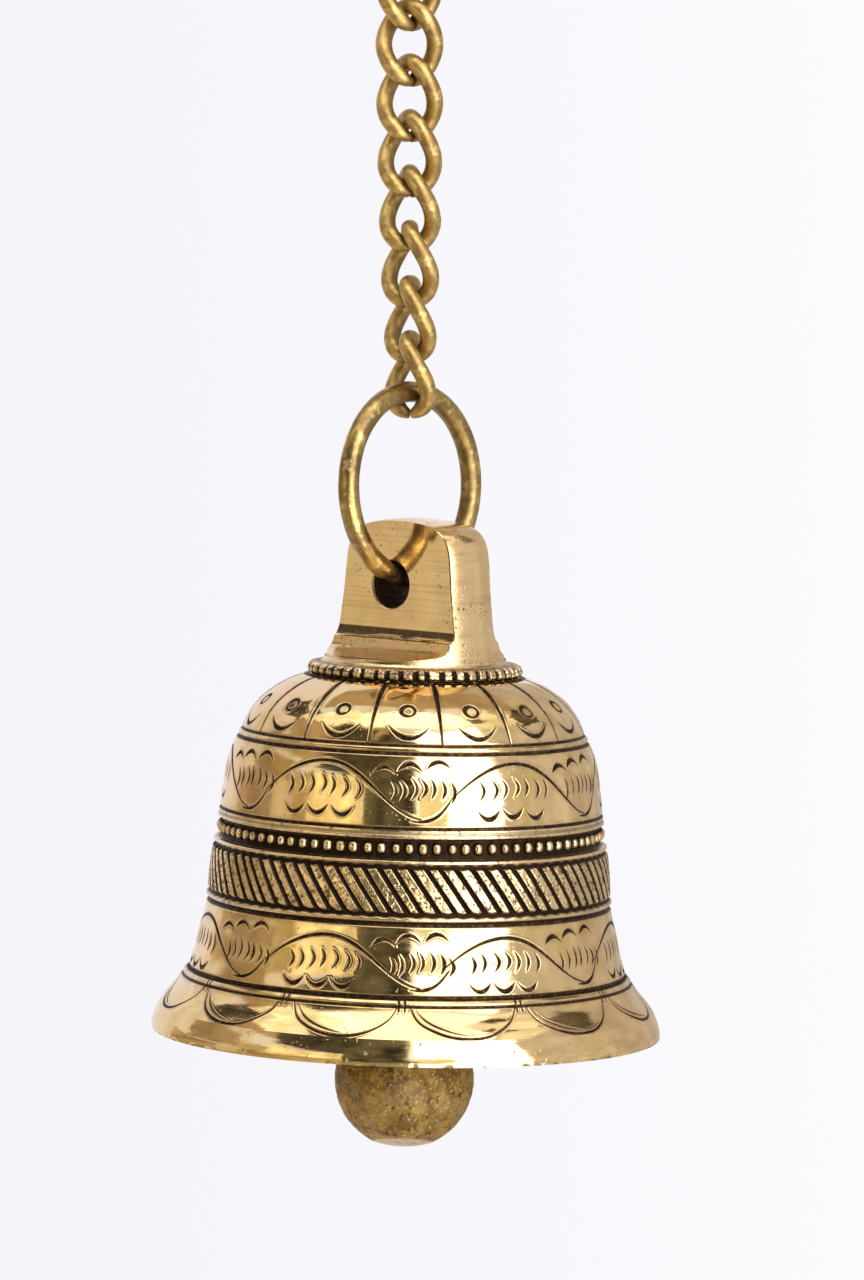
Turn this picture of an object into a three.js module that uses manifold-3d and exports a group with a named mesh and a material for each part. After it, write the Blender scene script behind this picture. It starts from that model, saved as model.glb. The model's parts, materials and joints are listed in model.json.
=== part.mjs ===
// A small brass temple bell hanging on a curb chain.
// Millimetres, +Z up. The origin is the hang point: the inside top of the chain's hook, where the hook
// rests on the rod or ceiling hook that holds it. The bell is described by heights above its mouth.

import * as THREE from "three";
import { mergeVertices } from "three/addons/utils/BufferGeometryUtils.js";
import Module from "manifold-3d";

const wasm = await Module();
wasm.setup();

const { degToRad } = THREE.MathUtils;

// ---------------------------------------------------------------------------
// Driving dimensions
// ---------------------------------------------------------------------------

// Clearance between two wires that rest on each other.
const CONTACT_GAP = 0.1;
// Clearance around a wire that is set in a drilled socket.
const SOCKET_GAP = 0.3;

// Top hook: an S bent from round wire, open above and closed below.
const HOOK_WIRE = 1.5;
const HOOK_BEND = 8;
const HOOK_EYE = 4.2;
const HOOK_MOUTH_ANGLE = 205;
const HOOK_EYE_END_ANGLE = 370;

// Chain: oval links of round wire, each twisted a quarter turn from top to bottom.
const LINK_WIRE = 1.25;
const LINK_HALF_WIDTH = 3.8;
const LINK_HALF_LENGTH = 5.4;
const LINK_HALF_TWIST = 47;
// 2 is a plain oval, and more is blunter at the ends.
const LINK_BLUNTNESS = 2.3;
const LINK_JOINT_GAP = 0.4;
// Each link's bearing about +Z: the chain unwinds slowly towards the bell.
const LINK_BEARINGS = [24, 14, 5, -4, -15, -26, -36, -47, -60, -62];

// Suspension ring and the bearing of the lug that it goes through.
const RING_WIRE = 1.55;
const RING_BEND = 13.8;
const RING_JOINT_GAP = 0.4;
const LUG_BEARING = -41;

// Bell casting: heights above the mouth.
const MOUTH_RADIUS = 38.1;
const WALL = 2.6;
const CROWN_CEILING = 51;
const BELL_SEGMENTS = 48;

// Lug: a tapered boss with a flat cut on two sides and a hole through the tongue between them.
const LUG_HALF_THICKNESS = 4.5;
const LUG_TOP = 76.8;
const FLAT_FOOT = 60.6;
const LEDGE_HEIGHT = 58.9;
const LEDGE_DEPTH = 5.6;
const BOWL_FLOOR = 56.35;
const HOLE_RADIUS = 3.5;
const HOLE_HEIGHT = 67;
// The hole is drilled off the bell's axis, so the bell hangs a little out of plumb.
const HOLE_OFFSET = 1.3;
const PIVOT_TO_CENTRE_OF_MASS = 34;

// Clapper and the staple that it hangs on.
const STAPLE_WIRE = 1.2;
const STAPLE_BEND = 4;
const STAPLE_HEIGHT = 46;
const STAPLE_SOCKET_TOP = 55;
const ROD_WIRE = 1.2;
const ROD_EYE = 2.9;
const BALL_RADIUS = 10.5;
const BALL_CENTRE = -7.25;
const BALL_BASE = -17.2;
const ROD_FOOT = -3;

// ---------------------------------------------------------------------------
// Heights that follow from the pieces resting on each other
// ---------------------------------------------------------------------------

const HOOK_CENTRE_Z = HOOK_WIRE - HOOK_BEND;
const HOOK_EYE_Z = HOOK_CENTRE_Z - HOOK_BEND - HOOK_EYE;
const HOOK_SEAT_Z = HOOK_EYE_Z - HOOK_EYE;

const LINK_PITCH = 2 * (LINK_HALF_LENGTH - LINK_WIRE) - CONTACT_GAP;
const FIRST_LINK_Z = HOOK_SEAT_Z + HOOK_WIRE + LINK_WIRE + CONTACT_GAP - LINK_HALF_LENGTH;
const LAST_LINK_Z = FIRST_LINK_Z - (LINK_BEARINGS.length - 1) * LINK_PITCH;

const CHAIN_END_Z = LAST_LINK_Z - LINK_HALF_LENGTH;
const RING_CENTRE_Z = CHAIN_END_Z + LINK_WIRE + RING_WIRE + CONTACT_GAP - RING_BEND;
const PIVOT_Z = RING_CENTRE_Z - RING_BEND;

// The hole's two upper edges rest on the ring, so the ring's bend sets how high its lowest point sits.
const RING_INSIDE = RING_BEND - RING_WIRE;
const RING_RISE_AT_EDGE = RING_INSIDE - Math.sqrt(RING_INSIDE ** 2 - LUG_HALF_THICKNESS ** 2);
const PIVOT_HEIGHT = HOLE_HEIGHT + HOLE_RADIUS - CONTACT_GAP - RING_RISE_AT_EDGE - RING_WIRE;
const BELL_LEAN = Math.atan(HOLE_OFFSET / PIVOT_TO_CENTRE_OF_MASS);

// ---------------------------------------------------------------------------
// Materials
// ---------------------------------------------------------------------------

const polishedBrass = () => new THREE.MeshStandardMaterial({ color: 0xd2ad5c, roughness: 0.18, metalness: 1 });
const satinBrass = () => new THREE.MeshStandardMaterial({ color: 0xa98d4f, roughness: 0.38, metalness: 1 });
const castBrass = () => new THREE.MeshStandardMaterial({ color: 0x8b7433, roughness: 0.6, metalness: 1 });

// ---------------------------------------------------------------------------
// Shape helpers
// ---------------------------------------------------------------------------

// A closed geometry with only its positions, each shared vertex stored once.
function weld(geometry) {
  geometry.deleteAttribute("normal");
  geometry.deleteAttribute("uv");
  return mergeVertices(geometry, 1e-4);
}

function toSolid(geometry) {
  const welded = weld(geometry);
  const mesh = new wasm.Mesh({
    numProp: 3,
    vertProperties: new Float32Array(welded.attributes.position.array),
    triVerts: new Uint32Array(welded.index.array),
  });
  return new wasm.Manifold(mesh);
}

function toGeometry(solid) {
  const mesh = solid.getMesh();
  const geometry = new THREE.BufferGeometry();
  geometry.setAttribute("position", new THREE.BufferAttribute(mesh.vertProperties, 3));
  geometry.setIndex(new THREE.BufferAttribute(mesh.triVerts, 1));
  return geometry;
}

// A regular polygon that stands in for a wire's round section.
function wireSection(radius, sides) {
  const shape = new THREE.Shape();
  for (let i = 0; i < sides; i += 1) {
    const angle = ((i + 0.5) / sides) * 2 * Math.PI;
    const [x, y] = [radius * Math.cos(angle), radius * Math.sin(angle)];
    if (i === 0) shape.moveTo(x, y);
    else shape.lineTo(x, y);
  }
  shape.closePath();
  return shape;
}

function bentWire(curve, radius, { sides = 8, steps = 32 } = {}) {
  const section = wireSection(radius, sides);
  return weld(new THREE.ExtrudeGeometry(section, { steps, bevelEnabled: false, extrudePath: curve }));
}

// A profile of [radius, height] points turned about +Z.
function turned(profile, segments) {
  const points = profile.map(([radius, height]) => new THREE.Vector2(radius, height));
  return new THREE.LatheGeometry(points, segments).rotateX(Math.PI / 2);
}

// Points on an arc in a profile or a flat outline, ends included. Angles are in degrees.
function arcPoints(centre, radius, from, to, count) {
  const points = [];
  for (let i = 0; i <= count; i += 1) {
    const angle = degToRad(from + ((to - from) * i) / count);
    points.push([centre[0] + radius * Math.cos(angle), centre[1] + radius * Math.sin(angle)]);
  }
  return points;
}

function namedMesh(name, geometry, material) {
  const mesh = new THREE.Mesh(geometry, material);
  mesh.name = name;
  return mesh;
}

// ---------------------------------------------------------------------------
// Curves that the wires follow
// ---------------------------------------------------------------------------

// An S in the YZ plane: over the rod, down the back, then forward and round the eye.
class HookCurve extends THREE.Curve {
  getPoint(t, target = new THREE.Vector3()) {
    const upperSweep = HOOK_MOUTH_ANGLE + 90;
    const lowerSweep = HOOK_EYE_END_ANGLE - 90;
    const upperLength = upperSweep * HOOK_BEND;
    const travelled = t * (upperLength + lowerSweep * HOOK_EYE);
    if (travelled <= upperLength) {
      const angle = degToRad(HOOK_MOUTH_ANGLE - travelled / HOOK_BEND);
      return target.set(0, HOOK_BEND * Math.cos(angle), HOOK_CENTRE_Z + HOOK_BEND * Math.sin(angle));
    }
    const angle = degToRad(90 + (travelled - upperLength) / HOOK_EYE);
    return target.set(0, HOOK_EYE * Math.cos(angle), HOOK_EYE_Z + HOOK_EYE * Math.sin(angle));
  }
}

// An oval whose plane turns about its long axis on the way from its bottom joint up, over and back.
class LinkCurve extends THREE.Curve {
  getPoint(t, target = new THREE.Vector3()) {
    const halfJoint = LINK_JOINT_GAP / 2 / LINK_HALF_WIDTH;
    const angle = -Math.PI / 2 + halfJoint + t * 2 * (Math.PI - halfJoint);
    const across = Math.cos(angle);
    const side = LINK_HALF_WIDTH * Math.sign(across) * Math.abs(across) ** (2 / LINK_BLUNTNESS);
    const bearing = -degToRad(LINK_HALF_TWIST) * Math.sin(angle);
    return target.set(
      side * Math.cos(bearing),
      side * Math.sin(bearing),
      LINK_HALF_LENGTH * Math.sin(angle),
    );
  }
}

// A circle in the YZ plane whose cut ends meet at the front mouth of the lug's hole.
class RingCurve extends THREE.Curve {
  getPoint(t, target = new THREE.Vector3()) {
    const halfJoint = RING_JOINT_GAP / 2 / RING_BEND;
    const joint = -Math.PI / 2 - Math.asin(LUG_HALF_THICKNESS / RING_BEND);
    const angle = joint + halfJoint + t * 2 * (Math.PI - halfJoint);
    return target.set(0, RING_BEND * Math.cos(angle), RING_BEND * Math.sin(angle));
  }
}

// A U in the YZ plane: down from one socket, round the bend and up into the other.
function stapleCurve() {
  const bendHeight = STAPLE_HEIGHT + STAPLE_BEND;
  const legEnd = STAPLE_SOCKET_TOP - SOCKET_GAP;
  const bend = arcPoints([0, bendHeight], STAPLE_BEND, 180, 360, 8);
  const outline = [[-STAPLE_BEND, legEnd], ...bend, [STAPLE_BEND, legEnd]];
  return new THREE.CatmullRomCurve3(outline.map(([y, z]) => new THREE.Vector3(0, y, z)), false, "centripetal");
}

// A straight shank that sets off to one side, then bends over the staple to form an eye in the XZ plane.
function rodCurve() {
  const eyeHeight = STAPLE_HEIGHT + STAPLE_WIRE + ROD_WIRE + CONTACT_GAP - ROD_EYE;
  const shoulder = eyeHeight - 3 * ROD_EYE;
  const eye = arcPoints([0, eyeHeight], ROD_EYE, 180, -50, 9);
  const outline = [[0, ROD_FOOT], [0, (ROD_FOOT + shoulder) / 2], [0, shoulder], ...eye];
  return new THREE.CatmullRomCurve3(outline.map(([x, z]) => new THREE.Vector3(x, 0, z)), false, "centripetal");
}

// ---------------------------------------------------------------------------
// Bell casting
// ---------------------------------------------------------------------------

// Outer wall from the mouth up: lip, skirt, waist bands, bead recess, shoulder, collar and boss.
function outerProfile() {
  const lip = [[MOUTH_RADIUS, 0], [MOUTH_RADIUS, 0.6], [37.2, 3.8]];
  const skirt = [[35.1, 6], [33.6, 8.2], [33.4, 9], [32.5, 9.6]];
  const waist = [[31.7, 12.5], [31, 16], [30.4, 19.4], [30, 22], [29.5, 27.8]];
  const beadRecess = [[29, 28.2], [28.8, 32.8]];
  const upperBand = [[28.5, 34], [28, 37.5], [27.2, 41.6], [26.2, 43.9]];
  const shoulder = [[25.4, 45.6], [23.3, 49.2], [21.1, 51], [18.7, 52.6], [16, 53.6]];
  const collar = [[16.3, 54.3], [15.8, 55.4], [13.2, 56.2]];
  const boss = [[13.1, 57.2], [12.3, 60], [11.5, 66.4], [10.9, 72.4], [8.3, 75.3], [4.5, 76.5], [0, LUG_TOP]];
  return [...lip, ...skirt, ...waist, ...beadRecess, ...upperBand, ...shoulder, ...collar, ...boss];
}

// Inner wall from the ceiling of the crown down to the inside of the lip.
function innerProfile() {
  const lipThickness = 1.3 * WALL;
  return [
    [0, CROWN_CEILING],
    [9, CROWN_CEILING - 1],
    [17, CROWN_CEILING - 4],
    [22, CROWN_CEILING - 9],
    [28.6 - WALL, 33],
    [30 - WALL, 20],
    [32.5 - WALL, 9.6],
    [MOUTH_RADIUS - lipThickness, 0],
  ];
}

// Everything outside one flat of the lug: the flat, its concave foot and the shallow bowl below that.
function flatCutter(facing) {
  const reach = 20;
  const above = 90;
  const bowl = [
    [6.1, 57.6],
    [7.2, 56.95],
    [8.9, 56.55],
    [12, BOWL_FLOOR],
    [reach, BOWL_FLOOR],
  ];
  const filletRise = FLAT_FOOT - LEDGE_HEIGHT;
  const fillet = arcPoints([LEDGE_DEPTH, FLAT_FOOT], 1, 180, 270, 5).map(([y, z]) => [
    LEDGE_DEPTH + (y - LEDGE_DEPTH) * (LEDGE_DEPTH - LUG_HALF_THICKNESS),
    FLAT_FOOT + (z - FLAT_FOOT) * filletRise,
  ]);
  const outline = [[LUG_HALF_THICKNESS, above], ...fillet, ...bowl, [reach, above]];
  const shape = new THREE.Shape(outline.map(([y, z]) => new THREE.Vector2(y, z)));
  const block = new THREE.ExtrudeGeometry(shape, { depth: 2 * reach, bevelEnabled: false });
  block.translate(0, 0, -reach);
  // The outline's own axes become the bell's Y and Z, and the depth runs along X.
  block.rotateY(Math.PI / 2).rotateX(Math.PI / 2);
  block.rotateZ(facing);
  return toSolid(block);
}

function drill(radius, length, sides) {
  return new THREE.CylinderGeometry(radius, radius, length, sides);
}

function bellSolid() {
  let solid = toSolid(turned([...innerProfile(), ...outerProfile()], BELL_SEGMENTS));
  for (const facing of [0, Math.PI]) {
    solid = solid.subtract(flatCutter(facing));
  }
  const hole = drill(HOLE_RADIUS, 4 * LUG_HALF_THICKNESS, 24).translate(-HOLE_OFFSET, 0, HOLE_HEIGHT);
  solid = solid.subtract(toSolid(hole));
  const socketLength = STAPLE_SOCKET_TOP - (CROWN_CEILING - 3);
  for (const side of [-STAPLE_BEND, STAPLE_BEND]) {
    const socket = drill(STAPLE_WIRE + SOCKET_GAP, socketLength, 10).rotateX(Math.PI / 2);
    socket.translate(0, side, STAPLE_SOCKET_TOP - socketLength / 2);
    solid = solid.subtract(toSolid(socket));
  }
  return solid;
}

// ---------------------------------------------------------------------------
// Clapper ball
// ---------------------------------------------------------------------------

// A cast ball with a flat on its underside and a blind bore for the rod.
function ballProfile() {
  const bore = ROD_WIRE + SOCKET_GAP;
  const baseAngle = THREE.MathUtils.radToDeg(Math.asin((BALL_BASE - BALL_CENTRE) / BALL_RADIUS));
  const topAngle = THREE.MathUtils.radToDeg(Math.acos(bore / BALL_RADIUS));
  const skin = arcPoints([0, BALL_CENTRE], BALL_RADIUS, baseAngle, topAngle, 14);
  const floor = ROD_FOOT - SOCKET_GAP;
  return [[0, BALL_BASE], ...skin, [bore, floor], [0, floor]];
}

// ---------------------------------------------------------------------------
// Assembly
// ---------------------------------------------------------------------------

function chainLinks() {
  return LINK_BEARINGS.map((bearing, index) => {
    const name = `chain_link_${String(index + 1).padStart(2, "0")}`;
    const geometry = bentWire(new LinkCurve(), LINK_WIRE, { sides: 8, steps: 26 });
    const link = namedMesh(name, geometry, satinBrass());
    link.position.z = FIRST_LINK_Z - index * LINK_PITCH;
    link.rotation.z = degToRad(bearing);
    return link;
  });
}

function suspensionRing() {
  const wire = bentWire(new RingCurve(), RING_WIRE, { sides: 10, steps: 44 });
  const ring = namedMesh("suspension_ring", wire, satinBrass());
  ring.position.z = RING_CENTRE_Z;
  ring.rotation.z = degToRad(LUG_BEARING);
  return ring;
}

// The bell and its clapper, leaning about the ring so that their weight hangs below it.
function hangingBell() {
  const hanging = new THREE.Group();
  hanging.position.z = PIVOT_Z;
  hanging.rotation.order = "ZYX";
  hanging.rotation.set(0, BELL_LEAN, degToRad(LUG_BEARING));

  const aboveMouth = new THREE.Group();
  aboveMouth.position.set(HOLE_OFFSET, 0, -PIVOT_HEIGHT);
  aboveMouth.add(
    namedMesh("bell_casting", toGeometry(bellSolid()), polishedBrass()),
    namedMesh("crown_staple", bentWire(stapleCurve(), STAPLE_WIRE, { steps: 20 }), satinBrass()),
    namedMesh("clapper_rod", bentWire(rodCurve(), ROD_WIRE, { steps: 30 }), satinBrass()),
    namedMesh("clapper_ball", weld(turned(ballProfile(), 24)), castBrass()),
  );
  hanging.add(aboveMouth);
  return hanging;
}

const templeBell = new THREE.Group();
templeBell.add(
  namedMesh("top_hook", bentWire(new HookCurve(), HOOK_WIRE, { sides: 10, steps: 48 }), satinBrass()),
  ...chainLinks(),
  suspensionRing(),
  hangingBell(),
);

export default templeBell;
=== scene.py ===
"""The looks of a small brass temple bell on a curb chain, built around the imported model.

Shapes are written in millimetres in the frame of the part they belong to and turned into metres
when a mesh is made. The wall of the bell is a stack of fine grids, one for each turned band, and
the engraving is cut into those grids as real grooves.
"""

import json
import math
import random

import bmesh
import bpy
import numpy as np
from mathutils import Matrix, Vector, geometry


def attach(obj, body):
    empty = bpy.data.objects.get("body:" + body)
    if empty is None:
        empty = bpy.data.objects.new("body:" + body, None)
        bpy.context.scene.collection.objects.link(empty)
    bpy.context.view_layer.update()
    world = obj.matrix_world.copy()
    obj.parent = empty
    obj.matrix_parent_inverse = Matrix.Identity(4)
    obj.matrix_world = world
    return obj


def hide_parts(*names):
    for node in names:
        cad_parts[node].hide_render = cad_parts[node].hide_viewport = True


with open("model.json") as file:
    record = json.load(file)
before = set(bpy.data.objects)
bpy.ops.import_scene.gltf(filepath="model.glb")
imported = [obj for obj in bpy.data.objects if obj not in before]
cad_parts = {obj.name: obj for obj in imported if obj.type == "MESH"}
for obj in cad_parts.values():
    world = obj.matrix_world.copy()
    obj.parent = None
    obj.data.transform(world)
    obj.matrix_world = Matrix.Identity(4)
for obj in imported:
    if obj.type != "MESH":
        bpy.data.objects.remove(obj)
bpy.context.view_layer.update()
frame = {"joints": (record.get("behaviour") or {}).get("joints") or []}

MM = 0.001
JOINTS = {joint["name"]: joint for joint in frame["joints"]}

# ---------------------------------------------------------------------------
# Sizes that the model and the looks share, in millimetres and degrees
# ---------------------------------------------------------------------------

LINK_WIRE = 1.25
LINK_HALF_WIDTH = 3.8
LINK_HALF_LENGTH = 5.4
LINK_HALF_TWIST = 47
LINK_BLUNTNESS = 2.3
LINK_JOINT_GAP = 0.4
LINK_BEARINGS = [24, 14, 5, -4, -15, -26, -36, -47, -60, -62]

# The play between one wire and the next that hangs on it, and how far a wire's skin wanders.
HANGING_GAP = 0.1
WIRE_WOBBLE = 0.03

RING_WIRE = 1.55
RING_BEND = 13.8
RING_JOINT_GAP = 0.4

HOOK_WIRE = 1.5
HOOK_BEND = 8
HOOK_EYE = 4.2
HOOK_MOUTH_ANGLE = 205
HOOK_EYE_END_ANGLE = 370

LUG_BEARING = -41
LUG_HALF_THICKNESS = 4.5
HOLE_RADIUS = 3.5
HOLE_HEIGHT = 67
HOLE_OFFSET = 1.3
PIVOT_HEIGHT = 67.9935
BELL_LEAN = math.degrees(math.atan(HOLE_OFFSET / 34))

STAPLE_WIRE = 1.2
STAPLE_BEND = 4
STAPLE_HEIGHT = 46
STAPLE_LEG_END = 54.7
ROD_WIRE = 1.2
ROD_EYE = 2.9
ROD_FOOT = -3
BALL_RADIUS = 10.5
BALL_CENTRE = -7.25

# Spacing of the grid that carries the engraving, the burr along each cut and the dirt round it.
GRID_STEP = 0.1
BURR_HEIGHT = 0.03
BURR_WIDTH = 0.13
GRIME_REACH = 0.7

# ---------------------------------------------------------------------------
# Frames
# ---------------------------------------------------------------------------


def shift(x, y, z):
    return Matrix.Translation(Vector((x, y, z)) * MM)


def turn(degrees, axis):
    return Matrix.Rotation(math.radians(degrees), 4, axis)


PIVOT = Vector(JOINTS["bell_swing"]["pos_m"])
# The bell's own frame: the origin is the centre of the mouth, Z is its axis, the lug's flats face Y.
BELL = (
    Matrix.Translation(PIVOT)
    @ turn(LUG_BEARING, "Z")
    @ turn(BELL_LEAN, "Y")
    @ shift(HOLE_OFFSET, 0, -PIVOT_HEIGHT)
)
# The same frame turned about the bell's axis, so that -Y is the side that faces the viewer.
FACING = BELL @ turn(-LUG_BEARING, "Z")

# ---------------------------------------------------------------------------
# Node helpers
# ---------------------------------------------------------------------------


class Recipe:
    """A material's nodes, added one after another and joined to one Principled shader."""

    def __init__(self, name):
        self.material = bpy.data.materials.new(name)
        self.material.use_nodes = True
        self.nodes = self.material.node_tree.nodes
        self.links = self.material.node_tree.links
        self.shader = self.nodes["Principled BSDF"]
        self.where = self.nodes.new("ShaderNodeTexCoord").outputs["Object"]

    def feed(self, socket, value):
        if isinstance(value, bpy.types.NodeSocket):
            self.links.new(value, socket)
        elif value is not None:
            socket.default_value = value

    def attribute(self, name):
        node = self.nodes.new("ShaderNodeAttribute")
        node.attribute_name = name
        return node.outputs["Fac"]

    def stretched(self, x, y, z):
        """The position, multiplied along each axis."""
        node = self.nodes.new("ShaderNodeMapping")
        node.inputs["Scale"].default_value = (x, y, z)
        self.feed(node.inputs["Vector"], self.where)
        return node.outputs["Vector"]

    def noise(self, scale, detail=3.0, roughness=0.55, where=None, distortion=0.0):
        node = self.nodes.new("ShaderNodeTexNoise")
        self.feed(node.inputs["Vector"], where or self.where)
        node.inputs["Scale"].default_value = scale
        node.inputs["Detail"].default_value = detail
        node.inputs["Roughness"].default_value = roughness
        node.inputs["Distortion"].default_value = distortion
        return node.outputs["Fac"]

    def window(self, value, low, high, to_low=0.0, to_high=1.0):
        """The value between low and high, run from to_low to to_high and held beyond them."""
        node = self.nodes.new("ShaderNodeMapRange")
        node.clamp = True
        self.feed(node.inputs["Value"], value)
        node.inputs["From Min"].default_value = low
        node.inputs["From Max"].default_value = high
        node.inputs["To Min"].default_value = to_low
        node.inputs["To Max"].default_value = to_high
        return node.outputs["Result"]

    def maths(self, operation, a, b=None, clamp=False):
        node = self.nodes.new("ShaderNodeMath")
        node.operation = operation
        node.use_clamp = clamp
        self.feed(node.inputs[0], a)
        self.feed(node.inputs[1], b)
        return node.outputs[0]

    def blend(self, share, a, b):
        """Colour a, going over to colour b as share goes from 0 to 1."""
        node = self.nodes.new("ShaderNodeMix")
        node.data_type = "RGBA"
        self.feed(node.inputs[0], share)
        self.feed(node.inputs[6], a)
        self.feed(node.inputs[7], b)
        return node.outputs[2]

    def bump(self, height, distance_mm, strength=1.0, under=None):
        node = self.nodes.new("ShaderNodeBump")
        self.feed(node.inputs["Height"], height)
        node.inputs["Distance"].default_value = distance_mm * MM
        node.inputs["Strength"].default_value = strength
        self.feed(node.inputs["Normal"], under)
        return node.outputs["Normal"]

    def out(self, **sockets):
        """Joins values to the shader's sockets; an underscore in a name stands for a space."""
        for name, value in sockets.items():
            self.feed(self.shader.inputs[name.replace("_", " ")], value)
        return self.material


def rgb(red, green, blue):
    return (red, green, blue, 1.0)


# ---------------------------------------------------------------------------
# Materials
# ---------------------------------------------------------------------------

BRASS = rgb(0.93, 0.70, 0.38)
BRASS_WARM = rgb(0.88, 0.62, 0.33)
BRASS_DEEP = rgb(0.82, 0.60, 0.22)
BRASS_FILM = rgb(0.60, 0.39, 0.20)
PATINA = rgb(0.028, 0.016, 0.010)
PATINA_WORN = rgb(0.12, 0.070, 0.038)
GRIME = rgb(0.27, 0.17, 0.075)


def polished_brass(
    name,
    grain=(45, 45, 5200),
    film=0.35,
    gloss=0.06,
    waves=0.05,
    sweep=(150, 150, 150),
    streaks=None,
    pitting=0.66,
):
    """Buffed brass: fine brush marks along the grain, faint tarnish, dark patina where it is cut.

    Grain, sweep and streaks are how often brush marks, buffing waves and brown strokes repeat along
    each axis. Film is the share of tarnish, gloss the least roughness, waves the depth of the
    buffing in millimetres, and a lower pitting gives more pits.
    """
    r = Recipe(name)
    colour = r.blend(r.window(r.noise(75, 4.0), 0.38, 0.62), BRASS, BRASS_WARM)
    golden = r.window(r.noise(130, 3.0, distortion=0.8), 0.5, 0.68, 0.0, 0.8)
    colour = r.blend(golden, colour, BRASS_DEEP)
    tarnish = r.window(r.noise(60, 6.0, 0.68, distortion=0.6), 0.48, 0.70, 0.0, film)
    colour = r.blend(tarnish, colour, BRASS_FILM)
    if streaks:
        strokes = r.window(r.noise(1.0, 4.0, 0.6, r.stretched(*streaks)), 0.48, 0.70, 0.0, 0.5)
        colour = r.blend(strokes, colour, BRASS_FILM)
    pits = r.window(r.noise(2100, 2.0), pitting, pitting + 0.06)
    sparse = r.window(r.noise(240, 3.0), 0.52, 0.60)
    specks = r.maths("MULTIPLY", pits, sparse)
    colour = r.blend(r.maths("MULTIPLY", specks, 0.8), colour, PATINA_WORN)
    patchy = r.window(r.noise(480, 4.0, 0.65), 0.40, 0.62, 0.1, 0.95)
    grime = r.maths("MULTIPLY", r.attribute("grime"), patchy, clamp=True)
    colour = r.blend(grime, colour, GRIME)
    cut = r.attribute("patina")
    darkening = r.blend(r.window(r.noise(1500, 3.0), 0.45, 0.7), PATINA, PATINA_WORN)
    colour = r.blend(cut, colour, darkening)
    lines = r.noise(1.0, 2.0, 0.6, r.stretched(*grain))
    hairs = r.noise(1.0, 1.0, 0.5, r.stretched(800, 110, 1700))
    shine = r.maths("ADD", gloss, r.window(lines, 0.35, 0.8, 0.0, 0.09))
    shine = r.maths("ADD", shine, r.window(tarnish, 0.0, 0.35, 0.0, 0.12))
    shine = r.maths("ADD", shine, r.maths("MULTIPLY", grime, 0.12))
    shine = r.maths("ADD", shine, r.maths("MULTIPLY", cut, 0.4), clamp=True)
    hand = r.bump(r.noise(1.0, 1.0, 0.4, r.stretched(*sweep)), waves)
    buffed = r.bump(r.noise(620, 2.0, 0.5), 0.08 * waves, under=hand)
    ripples = r.bump(lines, 0.0024, under=buffed)
    scratches = r.bump(r.window(hairs, 0.62, 0.75), 0.002, under=ripples)
    pitted = r.bump(specks, -0.03, under=scratches)
    return r.out(Base_Color=colour, Roughness=shine, Metallic=1.0, Normal=pitted)


def rough_brass(name):
    """Cast brass between cuts: bright on top, pitted, with brown held in the pits."""
    r = Recipe(name)
    grain = r.noise(900, 5.0, 0.7)
    blotches = r.noise(240, 4.0, 0.6)
    colour = r.blend(r.window(blotches, 0.38, 0.62), BRASS, rgb(0.84, 0.62, 0.38))
    pits = r.window(grain, 0.54, 0.67, 0.0, 0.85)
    colour = r.blend(pits, colour, PATINA_WORN)
    cut = r.attribute("patina")
    grime = r.maths("MULTIPLY", r.attribute("grime"), r.window(blotches, 0.35, 0.6, 0.05, 0.45))
    colour = r.blend(grime, colour, GRIME)
    colour = r.blend(cut, colour, PATINA)
    shine = r.window(grain, 0.35, 0.7, 0.10, 0.34)
    shine = r.maths("ADD", shine, r.maths("MULTIPLY", cut, 0.35), clamp=True)
    relief = r.bump(grain, 0.05)
    return r.out(Base_Color=colour, Roughness=shine, Metallic=1.0, Normal=relief)


def wire_brass(name, light, deep, stain, dull):
    """Drawn brass wire: satin, worn brighter outside, and brown where its patina layer holds dirt and
    painted shade.
    """
    r = Recipe(name)
    clouds = r.noise(330, 5.0, 0.65, distortion=0.5)
    grain = r.noise(2300, 3.0, 0.6)
    colour = r.blend(r.window(clouds, 0.38, 0.60), light, deep)
    stains = r.window(r.noise(210, 5.0, 0.7), 0.48, 0.64, 0.0, 0.8)
    colour = r.blend(stains, colour, stain)
    rubbed = r.window(r.noise(620, 4.0, 0.55), 0.55, 0.68, 0.0, 0.7)
    colour = r.blend(rubbed, colour, rgb(0.88, 0.66, 0.30))
    # The patina layer here is dirt, and painted shade on the wire's inner side and ends.
    darkening = r.attribute("patina")
    dirt_and_painted_shade = r.maths("MULTIPLY", darkening, r.window(clouds, 0.3, 0.6, 0.55, 1.0))
    colour = r.blend(dirt_and_painted_shade, colour, rgb(0.10, 0.055, 0.024))
    shine = r.window(clouds, 0.3, 0.7, dull, dull + 0.16)
    shine = r.maths("ADD", shine, r.maths("MULTIPLY", darkening, 0.2))
    dents = r.bump(r.noise(700, 3.0, 0.55), 0.09)
    relief = r.bump(grain, 0.016, under=dents)
    return r.out(Base_Color=colour, Roughness=shine, Metallic=1.0, Normal=relief)


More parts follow.
